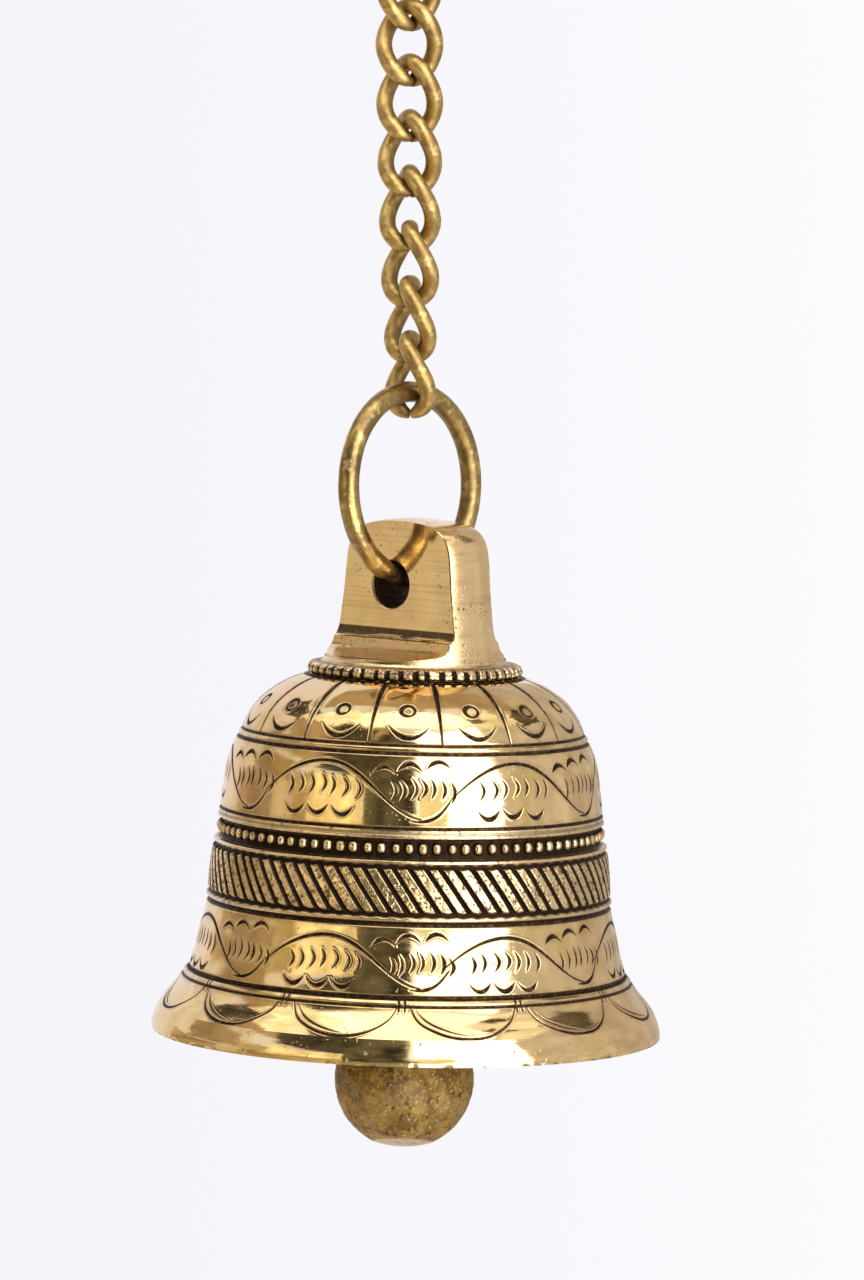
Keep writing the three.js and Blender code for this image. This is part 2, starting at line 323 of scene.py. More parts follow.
def cast_brass(name):
    """As-cast brass: dull brown gold, grainy and pitted, worn bright where it has been filed flat."""
    r = Recipe(name)
    blotches = r.noise(260, 5.0, 0.72, distortion=0.7)
    grain = r.noise(1900, 5.0, 0.75)
    coarse = r.noise(640, 4.0, 0.62)
    colour = r.blend(r.window(blotches, 0.40, 0.60), rgb(0.50, 0.33, 0.095), rgb(0.25, 0.14, 0.045))
    dusty = r.window(r.noise(150, 3.0), 0.50, 0.64, 0.0, 0.6)
    colour = r.blend(dusty, colour, rgb(0.34, 0.235, 0.17))
    hollows = r.window(coarse, 0.33, 0.43, 0.9, 0.0)
    colour = r.blend(hollows, colour, rgb(0.11, 0.055, 0.016))
    dark = r.window(grain, 0.30, 0.42, 0.7, 0.0)
    colour = r.blend(dark, colour, rgb(0.16, 0.085, 0.03))
    bright = r.window(grain, 0.57, 0.66, 0.0, 0.85)
    colour = r.blend(bright, colour, rgb(0.92, 0.70, 0.26))
    filed = r.maths("MULTIPLY", r.attribute("worn"), r.window(coarse, 0.35, 0.5, 0.45, 0.9))
    colour = r.blend(filed, colour, rgb(0.74, 0.55, 0.37))
    shine = r.window(grain, 0.3, 0.7, 0.75, 0.5)
    shine = r.maths("SUBTRACT", shine, r.maths("MULTIPLY", filed, 0.2))
    lumps = r.bump(coarse, 0.22)
    relief = r.bump(grain, 0.11, under=lumps)
    return r.out(Base_Color=colour, Roughness=shine, Metallic=1.0, Normal=relief)


def inner_brass(name):
    """The unpolished inside of the bell: lathe rings and a brown film."""
    r = Recipe(name)
    rings = r.noise(1.0, 3.0, 0.6, r.stretched(30, 30, 1400))
    film = r.noise(90, 5.0, 0.7)
    colour = r.blend(r.window(film, 0.35, 0.65), rgb(0.42, 0.29, 0.12), rgb(0.22, 0.145, 0.06))
    shine = r.window(rings, 0.3, 0.7, 0.34, 0.52)
    relief = r.bump(rings, 0.04)
    return r.out(Base_Color=colour, Roughness=shine, Metallic=1.0, Normal=relief)


# ---------------------------------------------------------------------------
# Mesh helpers
# ---------------------------------------------------------------------------


def set_layer(mesh, name, values):
    """Stores one number for each vertex, for materials to read by name."""
    layer = mesh.attributes.new(name, "FLOAT", "POINT")
    layer.data.foreach_set("value", np.asarray(values, np.float32).ravel())


def spread(values, reach):
    """The values blurred over reach cells each way on a grid whose rows close on themselves."""
    span = 2 * reach + 1
    across = sum(np.roll(values, k, axis=1) for k in range(-reach, reach + 1)) / span
    padded = np.pad(across, ((reach, reach), (0, 0)), mode="edge")
    return sum(padded[k : k + len(values)] for k in range(span)) / span


def make_mesh(name, points_mm, faces, crease=None, **layers):
    """A smooth-shaded mesh from points in millimetres. Edges beyond crease degrees stay sharp."""
    mesh = bpy.data.meshes.new(name)
    points = np.asarray(points_mm, np.float64).reshape(-1, 3) * MM
    faces = np.asarray(faces, np.int32)
    corners = faces.shape[1]
    mesh.vertices.add(len(points))
    mesh.vertices.foreach_set("co", points.astype(np.float32).ravel())
    mesh.loops.add(faces.size)
    mesh.loops.foreach_set("vertex_index", faces.ravel())
    mesh.polygons.add(len(faces))
    mesh.polygons.foreach_set("loop_start", np.arange(0, faces.size, corners, dtype=np.int32))
    mesh.update(calc_edges=True)
    mesh.shade_smooth()
    if crease:
        mesh.set_sharp_from_angle(angle=math.radians(crease))
    for layer, values in layers.items():
        set_layer(mesh, layer, values)
    return mesh


def add_object(name, data, matrix):
    thing = bpy.data.objects.new(name, data)
    bpy.context.scene.collection.objects.link(thing)
    thing.matrix_world = matrix
    return thing


def place(name, mesh, matrix, material, body, node):
    """Adds a piece that stands for a CAD node and rides on its body."""
    piece = add_object(name, mesh, matrix)
    mesh.materials.append(material)
    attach(piece, body)
    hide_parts(node)
    return piece


def grid_faces(rows, columns, closed=True):
    """Quads of a grid whose points run along each row; closed joins the last column to the first."""
    last = columns if closed else columns - 1
    row, column = np.meshgrid(np.arange(rows - 1), np.arange(last), indexing="ij")
    after = (column + 1) % columns
    corners = [row * columns + column, row * columns + after]
    corners += [(row + 1) * columns + after, (row + 1) * columns + column]
    return np.stack(corners, axis=-1).reshape(-1, 4)


def natural_spline(knots, values, at):
    """A natural cubic spline through the values, read at the given places."""
    n = len(knots)
    gaps = np.diff(knots)
    system = np.eye(n)
    right = np.zeros(values.shape)
    for i in range(1, n - 1):
        system[i, i - 1 : i + 2] = gaps[i - 1], 2 * (gaps[i - 1] + gaps[i]), gaps[i]
        right[i] = 6 * (
            (values[i + 1] - values[i]) / gaps[i] - (values[i] - values[i - 1]) / gaps[i - 1]
        )
    bends = np.linalg.solve(system, right)
    i = np.clip(np.searchsorted(knots, at) - 1, 0, n - 2)
    h = gaps[i][:, None]
    a = (knots[i + 1] - at)[:, None]
    b = (at - knots[i])[:, None]
    curved = (bends[i] * a**3 + bends[i + 1] * b**3) / (6 * h)
    before = values[i] / h - bends[i] * h / 6
    after = values[i + 1] / h - bends[i + 1] * h / 6
    straight = before * a + after * b
    return curved + straight


def smooth_line(points, step):
    """Points spaced evenly by about step along a smooth curve through the given points."""
    points = np.asarray(points, float)
    knots = np.r_[0, np.cumsum(np.linalg.norm(np.diff(points, axis=0), axis=1))]
    fine = natural_spline(knots, points, np.linspace(0, knots[-1], 40 * len(points)))
    along = np.r_[0, np.cumsum(np.linalg.norm(np.diff(fine, axis=0), axis=1))]
    count = max(2, round(along[-1] / step) + 1)
    even = np.linspace(0, along[-1], count)
    return np.stack([np.interp(even, along, fine[:, k]) for k in range(points.shape[1])], axis=1)


def lattice_noise(points, cell, seed):
    """Smooth noise from -1 to 1 with features about one cell across; points are in millimetres."""
    at = np.asarray(points, float) / cell
    base = np.floor(at).astype(np.int64)
    part = at - base
    part = part * part * (3 - 2 * part)
    total = np.zeros(at.shape[:-1])
    for corner in np.ndindex(2, 2, 2):
        key = base + np.array(corner)
        mixed = key[..., 0] * 73856093 ^ key[..., 1] * 19349663 ^ key[..., 2] * 83492791
        mixed = mixed ^ seed * 2654435761
        mixed = (mixed ^ (mixed >> 13)) * 1274126177 & 0x7FFFFFFF
        value = ((mixed ^ (mixed >> 16)) & 0xFFFF) / 32767.5 - 1
        weight = np.prod(np.where(np.array(corner) == 1, part, 1 - part), axis=-1)
        total += value * weight
    return total


# ---------------------------------------------------------------------------
# Turned bands with engraving
# ---------------------------------------------------------------------------


class Band:
    """One turned band of the wall. Columns go round it, rows go up its profile.

    Angles are in degrees to the right of the side that faces the viewer, and distances up the
    profile are in millimetres from the band's lower edge.
    """

    def __init__(self, profile, step=GRID_STEP):
        line = smooth_line(profile, step)
        self.radius, self.height = line[:, 0], line[:, 1]
        self.up = np.r_[0, np.cumsum(np.linalg.norm(np.diff(line, axis=0), axis=1))]
        self.length = self.up[-1]
        self.columns = round(2 * math.pi * self.radius.mean() / step)
        self.pitch = 360 / self.columns
        self.angle = np.arange(self.columns) * self.pitch
        shape = (len(self.up), self.columns)
        self.step = step
        self.lift = np.zeros(shape)
        self.burr = np.zeros(shape)
        self.patina = np.zeros(shape)

    def radius_at(self, up):
        return np.interp(up, self.up, self.radius)

    def around(self, up):
        """Millimetres per degree round the band at a distance up it."""
        return self.radius_at(up) * math.pi / 180

    def round_points(self, radius):
        """One point for each cell on a cylinder of this radius, to read noise at."""
        angle = np.radians(self.angle)[None, :]
        places = radius * np.sin(angle), radius * np.cos(angle), self.up[:, None]
        return np.stack(np.broadcast_arrays(*places), axis=-1)

    def groove(self, up, half_width, depth, patina=1.0):
        """A line turned right round the band."""
        gap = np.abs(self.up - up) / half_width
        shape = np.clip(1 - gap**2, 0, 1)
        self.lift -= depth * shape[:, None]
        dark = patina * np.clip(3 * (1 - gap), 0, 1)
        self.patina = np.maximum(self.patina, dark[:, None])

    def ridge(self, up, half_width, height):
        gap = np.abs(self.up - up) / half_width
        self.lift += height * np.sqrt(np.clip(1 - gap**2, 0, 1))[:, None]

    def cut(self, points, half_widths, depth=0.75, patina=1.0):
        """A graver's stroke: a V groove along points of (angle, up), as deep as it is wide."""
        points = np.asarray(points, float)
        widths = np.asarray(half_widths, float)
        middle = points[:, 0].mean()
        xs = (points[:, 0] - middle) * self.around(points[:, 1])
        ys = points[:, 1]
        pad = widths.max() + 2 * GRID_STEP
        rows = np.flatnonzero((self.up > ys.min() - pad) & (self.up < ys.max() + pad))
        if not len(rows):
            return
        reach = pad / self.around(ys).min()
        first = math.floor((points[:, 0].min() - reach) / self.pitch)
        last = math.ceil((points[:, 0].max() + reach) / self.pitch)
        steps = np.arange(first, last + 1)
        y = self.up[rows][:, None] * np.ones(len(steps))
        x = (steps * self.pitch - middle)[None, :] * self.around(self.up[rows])[:, None]
        inside = np.full(x.shape, -1.0)
        for i in range(len(xs) - 1):
            dx, dy = xs[i + 1] - xs[i], ys[i + 1] - ys[i]
            t = np.clip(((x - xs[i]) * dx + (y - ys[i]) * dy) / (dx * dx + dy * dy), 0, 1)
            away = np.hypot(x - xs[i] - t * dx, y - ys[i] - t * dy)
            inside = np.maximum(inside, widths[i] + t * (widths[i + 1] - widths[i]) - away)
        where = np.ix_(rows, steps % self.columns)
        self.lift[where] = np.minimum(self.lift[where], -depth * np.clip(inside, 0, None))
        burr = BURR_HEIGHT * np.clip(1 - np.abs(inside / BURR_WIDTH + 1), 0, 1)
        self.burr[where] = np.maximum(self.burr[where], burr)
        edge = np.clip(inside / (0.6 * GRID_STEP) + 0.6, 0, 1) * patina
        self.patina[where] = np.maximum(self.patina[where], edge)

    def mesh(self, name):
        up_r = np.gradient(self.radius, self.up)
        up_z = np.gradient(self.height, self.up)
        lift = self.lift + self.burr * (1 - self.patina)
        radius = self.radius[:, None] + lift * up_z[:, None]
        height = self.height[:, None] - lift * up_r[:, None]
        angle = np.radians(self.angle)[None, :]
        points = np.stack([radius * np.sin(angle), -radius * np.cos(angle), height], axis=-1)
        faces = grid_faces(len(self.up), self.columns)
        grime = spread(self.patina, max(1, round(GRIME_REACH / self.step)))
        return make_mesh(name, points, faces, patina=self.patina, grime=grime)


def tapered(count, widest, start=0.15, end=0.1, peak=0.5):
    """Half-widths along a stroke that swells to widest at peak and thins towards both ends."""
    t = np.linspace(0, 1, count)
    swell = np.where(t < peak, t / peak, (1 - t) / (1 - peak))
    floor = np.where(t < peak, start, end)
    return widest * (floor + (1 - floor) * np.sin(swell * math.pi / 2))


def arc_stroke(band, angle, up, width, sag, widest, peak=0.35, lean=0.0):
    """A short curved stroke: sag above 0 curves like a smile, below 0 like an eyebrow."""
    t = np.linspace(-1, 1, 9)
    ups = up + sag * (t**2 - 0.5) + lean * t
    angles = angle + t * width / 2 / band.around(up)
    band.cut(np.stack([angles, ups], axis=1), tapered(len(t), widest, 0.1, 0.1, peak))


def hatch_stroke(band, angle, low, high, bulge, widest):
    """A short upright stroke that bulges to the right."""
    t = np.linspace(0, 1, 8)
    ups = low + (high - low) * t
    angles = angle + bulge * np.sin(t * math.pi) / band.around(ups)
    band.cut(np.stack([angles, ups], axis=1), tapered(len(t), widest, 0.1, 0.15, 0.45))


# The vine's stem and the shoot that rises to the next crest: shares of the wave's length from the
# crest and of the band's height.
VINE_STEM = [(-0.36, 0.40), (-0.27, 0.66), (-0.15, 0.90), (-0.03, 1.0), (0.1, 0.94), (0.2, 0.74)]
VINE_STEM += [(0.29, 0.48), (0.37, 0.25), (0.45, 0.08), (0.5, 0.03)]
VINE_SHOOT = [(0.45, 0.0), (0.53, 0.01), (0.59, 0.12), (0.65, 0.38)]


def leaf(band, centre, spread_out, low, high, rng):
    """Seven upright strokes side by side, the middle ones a little higher."""
    count = 7
    for i in range(count):
        share = i / (count - 1)
        angle = centre + (2 * share - 1) * spread_out + rng.uniform(-0.3, 0.3)
        arch = 0.5 * math.sin(share * math.pi)
        bottom = low + arch + rng.uniform(-0.15, 0.15)
        top = high + arch + rng.uniform(-0.15, 0.15)
        hatch_stroke(band, angle, bottom, top, rng.uniform(0.5, 0.85), rng.uniform(0.19, 0.28))


def vine(band, waves, first_crest, low, high, hatch, smile_up, brow_up, rng):
    """A wavy stem round the band, with hatched leaves under each crest and over each trough."""
    period = 360 / waves
    for k in range(waves):
        crest = first_crest + k * period + rng.uniform(-0.8, 0.8)
        for outline, widths in (
            (VINE_STEM, ([0, 0.3, 0.6, 1], [0.1, 0.25, 0.3, 0.1])),
            (VINE_SHOOT, ([0, 0.4, 1], [0.08, 0.29, 0.1])),
        ):
            corners = [(crest + a * period, low + (high - low) * h) for a, h in outline]
            line = smooth_line(corners, 0.6)
            band.cut(line, np.interp(np.linspace(0, 1, len(line)), *widths))
        leaf(band, crest - 0.02 * period, 0.19 * period, *hatch, rng)
        leaf(band, crest + 0.5 * period, 0.155 * period, hatch[0] - 0.2, hatch[1] - 0.2, rng)
        for offset in (-0.165, -0.03, 0.105):
            up = smile_up + rng.uniform(-0.2, 0.2)
            widest = rng.uniform(0.3, 0.38)
            arc_stroke(band, crest + offset * period, up, 3.5, 1.3, widest, peak=0.62)
        for offset, rise in ((0.31, -0.5), (0.44, 0.1), (0.59, 0.4)):
            up = brow_up + rise + rng.uniform(-0.1, 0.1)
            widest = rng.uniform(0.3, 0.38)
            arc_stroke(band, crest + offset * period, up, 3.5, -1.1, widest, peak=0.3)


def upper_vine_band():
    band = Band([(28.62, 33.1), (28.4, 34.8), (28.0, 37.8), (27.35, 41.2), (26.75, 42.9), (26.2, 44.1)])
    vine(band, 6, -27, 1.35, 9.7, (4.3, 7.2), 2.5, 9.1, random.Random(11))
    band.groove(0.25, 0.35, 0.2)
    band.groove(band.length - 0.1, 0.3, 0.18)
    return band


def lower_vine_band():
    band = Band([(32.75, 9.3), (31.75, 12.4), (31.1, 15.4), (30.45, 18), (30.15, 19.7)])
    vine(band, 7, -23, 1.2, 8.7, (3.4, 6.3), 1.7, 8.5, random.Random(23))
    band.groove(0.1, 0.4, 0.28)
    band.groove(band.length - 0.1, 0.42, 0.25)
    return band


def petal_line(band, angle, foot, rng):
    """The cut line between two petals, deepest towards the collar."""
    wobble = rng.uniform(-0.5, 0.5)
    points = [(angle + wobble, foot), (angle + 0.3 * wobble, 4.5), (angle, 9)]
    points = smooth_line([*points, (angle, band.length - 0.5)], 0.8)
    along = np.linspace(0, 1, len(points))
    band.cut(points, np.interp(along, [0, 0.25, 0.7, 1], [0.12, 0.2, 0.4, 0.36]))


def petal_ring(band, angle, rng):
    """A small punched ring, cut deeper on one side."""
    up = 6.75 + rng.uniform(-0.2, 0.2)
    size = rng.uniform(0.93, 1.05)
    bearings = np.linspace(0, 2 * math.pi, 25)
    angles = angle + size * np.cos(bearings) / band.around(up)
    ups = up + size * np.sin(bearings)
    band.cut(np.stack([angles, ups], axis=1), 0.26 + 0.08 * np.cos(bearings - 2.4))


def shoulder_band():
    """The domed shoulder: petals between cut lines, each with a small ring over a curved stroke."""
    profile = [(26.2, 44.1), (25.45, 45.6), (24.45, 47.5), (23.2, 49.2), (21.3, 50.9)]
    profile += [(18.9, 52.4), (16.7, 53.3), (15.5, 53.6)]
    band = Band(profile)
    rng = random.Random(5)
    petals = 15
    first_line = 9.4
    lower_line, foot = 1.25, 1.35
    for k in range(petals):
        line = first_line + k * 360 / petals + rng.uniform(-0.5, 0.5)
        petal_line(band, line, foot, rng)
        middle = line + 180 / petals + rng.uniform(-0.7, 0.7)
        petal_ring(band, middle, rng)
        angle = middle + rng.uniform(-1, 1)
        up = 3.45 + rng.uniform(-0.2, 0.2)
        arc_stroke(band, angle, up, 6.3, 2.0, rng.uniform(0.34, 0.4), peak=0.4)
    across = 2 * (((band.angle - first_line) * petals / 360) % 1) - 1
    fade = np.clip(np.minimum(band.up - lower_line - 0.4, band.length - 1 - band.up) / 3, 0, 1)
    band.lift += 0.1 * fade[:, None] * (1 - across**2)[None, :]
    band.groove(lower_line, 0.3, 0.2)
    band.groove(0.05, 0.3, 0.18)
    band.ridge(0.65, 0.3, 0.08)
    band.groove(band.length - 0.6, 0.6, 0.2)
    return band


def skirt_band():
    """The flare above the lip: scallops that hang from a turned line."""
    profile = [(36.98, 3.85), (36.0, 5.15), (35.05, 6.15), (34.3, 7.1), (33.65, 8.15), (33.25, 8.8)]
    band = Band([*profile, (32.75, 9.3)])
    rng = random.Random(7)
    scallops = 12
    period = 360 / scallops
    line_up = 5.55
    for k in range(scallops):
        left = -28.5 + k * period + rng.uniform(-0.6, 0.6)
        width = 27.2 + rng.uniform(-0.6, 0.6)
        skew = rng.uniform(-0.03, 0.03)
        shape = [(0.0, 1.0), (0.05, 0.66), (0.18, 0.30), (0.36, 0.08), (0.52 + skew, 0.03)]
        shape += [(0.68, 0.10), (0.85, 0.38), (0.96, 0.74), (1.0, 1.0)]
        outline = smooth_line([(left + width * a, line_up * h + 0.1) for a, h in shape], 0.6)
        band.cut(outline, tapered(len(outline), 0.25, 0.35, 0.35, 0.35))
        inner = [(0.02, 0.85), (0.09, 0.6), (0.2, 0.36), (0.36, 0.16), (0.5, 0.07)]
        second = smooth_line([(left + width * a + 0.8, line_up * h + 0.35) for a, h in inner], 0.6)
        band.cut(second, tapered(len(second), 0.17, 0.1, 0.1, 0.4))
        for tick in (0.2, 1.7):
            angle = left + width + tick
            points = [(angle, line_up - 0.9), (angle + 0.1, line_up + 1.5)]
            band.cut(points, [0.12, 0.2])
    band.groove(line_up, 0.3, 0.22)
    band.groove(band.length - 0.1, 0.32, 0.24)
    return band


def flute_band():
    """Slanting flutes between two turned lines: bright bars with dark cuts between them."""
    profile = [(30.15, 19.7), (30.1, 21.0), (29.95, 23.4), (29.7, 26.0), (29.35, 28.0), (29.25, 28.35)]
    band = Band(profile)
    flutes = 82
    low, high = 1.55, 8.2
    slant = math.tan(math.radians(35))
    rng = random.Random(3)
    period = 360 / flutes
    run = (high - low) * slant / band.around(5)
    for k in range(flutes):
        top = k * period + rng.uniform(-0.35, 0.35)
        foot = top + run + rng.uniform(-0.25, 0.25)
        points = [(foot, low - 0.1), ((foot + top) / 2, (low + high) / 2), (top, high + 0.05)]
        width = rng.uniform(0.38, 0.47)
        band.cut(points, [width, 0.9 * width, width], depth=1.1)
    for up in (low - 0.25, high + 0.1):
        teeth = 0.09 * np.sin(np.radians(band.angle) * flutes + up)
        gap = np.abs(band.up[:, None] - up - teeth[None, :]) / 0.5
        band.lift = np.minimum(band.lift, -0.42 * np.clip(1 - gap**2, 0, 1))
        band.patina = np.maximum(band.patina, np.clip(1.8 * (1 - gap), 0, 1))
    band.groove(0.05, 0.36, 0.22)
    band.ridge(0.75, 0.4, 0.12)
    places = band.angle[None, :] * band.around(5), band.up[:, None], np.zeros((1, 1))
    points = np.stack(np.broadcast_arrays(*places), axis=-1)
    pitting = np.clip(lattice_noise(points, 0.32, 4) - 0.22, 0, 1)
    inside = ((band.up > low) & (band.up < high))[:, None]
    band.lift -= (0.14 * pitting + 0.03 * lattice_noise(points, 0.8, 6)) * inside
    band.patina = np.maximum(band.patina, np.clip(1.5 * pitting, 0, 0.85) * inside)
    return band


def bead_band():
    """A row of cast beads in a dark recess under a thin bright ridge."""
    band = Band([(29.25, 28.35), (29.05, 29.6), (28.9, 31.2), (28.75, 32.4), (28.62, 33.1)])
    beads = 87
    period = 360 / beads
    rng = random.Random(9)
    centre, half_high, half_wide, squareness = 2.2, 0.88, 0.76, 2.6
    recess_low, recess_high, recess_depth = 0.45, 3.65, 0.85
    recess = np.clip(np.minimum(band.up - recess_low, recess_high - band.up) / 0.35, 0, 1)
    band.lift -= recess_depth * np.sin(recess * math.pi / 2)[:, None]
    band.patina = np.maximum(band.patina, recess[:, None])
    for k in range(beads):
        middle = k * period + rng.uniform(-0.25, 0.25)
        size = rng.uniform(0.88, 1.04)
        first = math.floor((middle - period / 2) / band.pitch)
        steps = np.arange(first, math.ceil((middle + period / 2) / band.pitch))
        x = (steps * band.pitch - middle)[None, :] * band.around(centre) / (half_wide * size)
        y = (band.up - centre)[:, None] / (half_high * size)
        far = (np.abs(x) ** squareness + np.abs(y) ** squareness) ** (1 / squareness)
        swell = np.sqrt(np.clip(1 - far**2, 0, 1))
        columns = steps % band.columns
        band.lift[:, columns] = np.maximum(band.lift[:, columns], 0.86 * swell - recess_depth)
        clear = np.clip((swell - 0.5) / 0.3, 0, 1) * (swell > 0)
        band.patina[:, columns] = np.minimum(band.patina[:, columns], 1 - clear)
    points = band.round_points(29)
    rough = lattice_noise(points, 0.5, 91) + 0.6 * lattice_noise(points, 0.25, 92)
    band.lift += 0.05 * rough * recess[:, None]
    crusts = np.clip(0.7 * rough - 0.25, 0, 0.6) * (recess > 0)[:, None]
    band.patina = np.clip(band.patina + crusts, 0, 1)
    band.groove(band.length - 0.5, 0.28, 0.12, patina=0.5)
    band.ridge(0.2, 0.22, 0.12)
    return band


def collar_band():
    """A ring of cast beads at the foot of the lug, with a dirty valley between it and the lug."""
    profile = [(15.5, 53.6), (15.95, 54.0), (16.0, 54.5), (15.7, 55.05), (15.1, 55.4)]
    profile += [(14.4, 55.45), (13.8, 55.65), (13.5, 56.2)]
    band = Band(profile, GRID_STEP * 0.7)
    beads = 50
    rng = random.Random(2)
    gaps = np.zeros(band.columns)
    for k in range(beads):
        middle = k * 360 / beads + rng.uniform(-0.7, 0.7)
        away = np.abs((band.angle - middle + 180) % 360 - 180) * band.around(1)
        gaps = np.maximum(gaps, np.clip(1 - (away / rng.uniform(0.42, 0.56)) ** 2, 0, 1))
    beaded = np.clip(np.minimum(band.up / 0.25, (2.6 - band.up) / 0.4), 0, 1)[:, None]
    points = band.round_points(16)
    rough = lattice_noise(points, 0.7, 95) + 0.6 * lattice_noise(points, 0.3, 96)
    band.lift -= (0.38 * gaps[None, :] - 0.08 * rough) * beaded
    waist = np.clip(1 - np.abs(band.up[:, None] - 1.25 - 0.2 * rough) / 0.2, 0, 1)
    band.lift -= 0.08 * waist
    band.patina = np.clip(1.5 * beaded * gaps[None, :] + 0.75 * waist + 0.35 * rough * beaded, 0, 1)
    band.groove(0.0, 0.3, 0.1)
    valley = np.clip(1.3 - np.abs(band.up - 3.0) / 0.7, 0, 1)
    band.lift -= 0.15 * valley[:, None]
    band.patina = np.maximum(band.patina, np.clip(0.7 + 0.3 * rough, 0, 1) * valley[:, None])
    return band


def lip_band():
    """The plain lip, with small nicks along its lower edge."""
    band = Band([(38.05, 0.1), (38.06, 0.7), (37.85, 1.7), (37.5, 2.7), (36.98, 3.85)], 0.2)
    points = band.round_points(38)
    by_the_edge = np.clip(1 - band.up / 0.55, 0, 1)[:, None]
    nicks = np.clip(lattice_noise(points, 1.3, 31) - 0.3, 0, 1) * by_the_edge
    dings = np.clip(lattice_noise(points, 0.7, 33) - 0.72, 0, 1)
    band.lift -= 0.32 * nicks + 0.25 * dings
    band.patina = np.clip(0.7 * nicks + 2.0 * dings, 0, 0.8)
    return band


def rim_band():
    """The narrow ring under the lip that the bell stands on when it is put down."""
    return Band([(35.0, 0.32), (36.6, 0.06), (37.6, 0.02), (38.05, 0.1)], 0.25)


def inner_wall():
    """The inside of the casting, from the rim up to the crown."""
    profile = [(35.0, 0.32), (33.2, 3.2), (31.2, 6.5), (29.9, 9.6), (28.3, 15), (27.4, 20), (26.8, 27)]
    profile += [(26.0, 33), (24.6, 38), (22, 42.3), (17.2, 46.8), (9, 50), (3, 50.9), (0.4, 51)]
    return Band(profile, 0.5)


def build_wall():
    brass = polished_brass("turned_brass")
    smooth = polished_brass("buffed_brass", film=0.3, gloss=0.05, waves=0.075)
    cast = rough_brass("fluted_brass")
    inside = inner_brass("inner_brass")
    bands = [
        ("bell_rim", rim_band(), smooth),
        ("bell_lip", lip_band(), smooth),
        ("bell_skirt", skirt_band(), smooth),
        ("bell_lower_vine", lower_vine_band(), brass),
        ("bell_flutes", flute_band(), cast),
        ("bell_beads", bead_band(), cast),
        ("bell_upper_vine", upper_vine_band(), brass),
        ("bell_shoulder", shoulder_band(), smooth),
        ("bell_collar", collar_band(), cast),
        ("bell_inside", inner_wall(), inside),
    ]
    for name, band, material in bands:
        place(name, band.mesh(name), FACING, material, "bell", "bell_casting")


# ---------------------------------------------------------------------------
# Lug
# ---------------------------------------------------------------------------

# The round outline of the lug, as (radius, height); the flats are cut from it.
LUG_PROFILE = [(13.35, 56.2), (13.1, 57.2), (12.75, 58.6), (12.3, 60.4), (11.9, 63), (11.5, 66.4)]
LUG_PROFILE += [(11.2, 69.8), (10.85, 72.3), (10.3, 73.8), (9.3, 75.0), (7.6, 75.9), (4.5, 76.55)]
LUG_TOP = 76.82
LEDGE_DEPTH = 5.6
LEDGE_HEIGHT = 58.9
FLAT_FOOT = 60.6
BOWL_FLOOR = 56.35
BOWL_ROUND = 3.2
BOWL_RUN = 4.8
CHAMFER = 0.14
WORN_RIM = 0.25
# The bore from a flat inwards, as (distance from the middle plane, radius): a worn rim, then round.
BORE_PROFILE = [(4.5, 3.75), (4.4, 3.6), (4.2, 3.52), (3.9, 3.5), (0, 3.5)]


def lug_half_depth(height):
    """How far a flat stands from the middle plane at a height: bowl, concave foot, then flat."""
    if height <= LEDGE_HEIGHT:
        share = (LEDGE_HEIGHT - height) / (LEDGE_HEIGHT - BOWL_FLOOR)
        rounded = BOWL_ROUND * (1 - math.sqrt(max(0.0, 1 - share**2)))
        return LEDGE_DEPTH + rounded + BOWL_RUN * share**6
    if height >= FLAT_FOOT:
        return LUG_HALF_THICKNESS
    share = (FLAT_FOOT - height) / (FLAT_FOOT - LEDGE_HEIGHT)
    swing = LEDGE_DEPTH - LUG_HALF_THICKNESS
    return LUG_HALF_THICKNESS + swing * (1 - math.sqrt(max(0.0, 1 - share**2)))


def lug_heights():
    """Rows up the lug, closer together where its shape turns quickly."""
    line = smooth_line(LUG_PROFILE, 0.12)
    reach = [row for row in line if lug_half_depth(row[1]) < row[0] - 0.02]
    start = reach[0][1]
    heights = np.concatenate([
        start + (LEDGE_HEIGHT - start) * (1 - np.cos(np.linspace(0, math.pi / 2, 28)))[:-1],
        LEDGE_HEIGHT + (FLAT_FOOT - LEDGE_HEIGHT) * (1 - np.cos(np.linspace(0, math.pi / 2, 20)))[:-1],
        np.linspace(FLAT_FOOT, 72, 40)[:-1],
        line[line[:, 1] >= 72][:, 1][:-1],
    ])
    return heights, np.interp(heights, line[:, 1], line[:, 0]), line


def add_strip(points, faces, rows):
    """Adds a grid of rows of points to a mesh that is being built."""
    rows = np.asarray(rows, float)
    first = sum(len(p) for p in points)
    points.append(rows.reshape(-1, 3))
    faces.append(grid_faces(rows.shape[0], rows.shape[1], closed=False) + first)


def flat_outline(heights, widths):
    """The outline of one flat above its foot, in (x, z), going round once."""
    right = [(w, z) for z, w in zip(heights, widths)]
    left = [(-w, z) for z, w in zip(heights, widths)]
    foot = np.linspace(-widths[0], widths[0], 24)
    return [(x, heights[0]) for x in foot] + right[1:] + left[:0:-1]


def flat_with_hole(outline, hole):
    """Triangles between an outline and a hole in it."""
    loop = [Vector(p) for p in outline] + [Vector(p) for p in hole]
    n, m = len(outline), len(hole)
    edges = [(i, (i + 1) % n) for i in range(n)] + [(n + i, n + (i + 1) % m) for i in range(m)]
    points, _, faces, _, _, _ = geometry.delaunay_2d_cdt(loop, edges, [], 1, 1e-7)
    centre = Vector((-HOLE_OFFSET, HOLE_HEIGHT))
    rim = (Vector(hole[0]) - centre).length + 1e-3
    kept = [face for face in faces if any((points[i] - centre).length > rim for i in face)]
    return np.array([(p.x, p.y) for p in points]), np.array(kept)


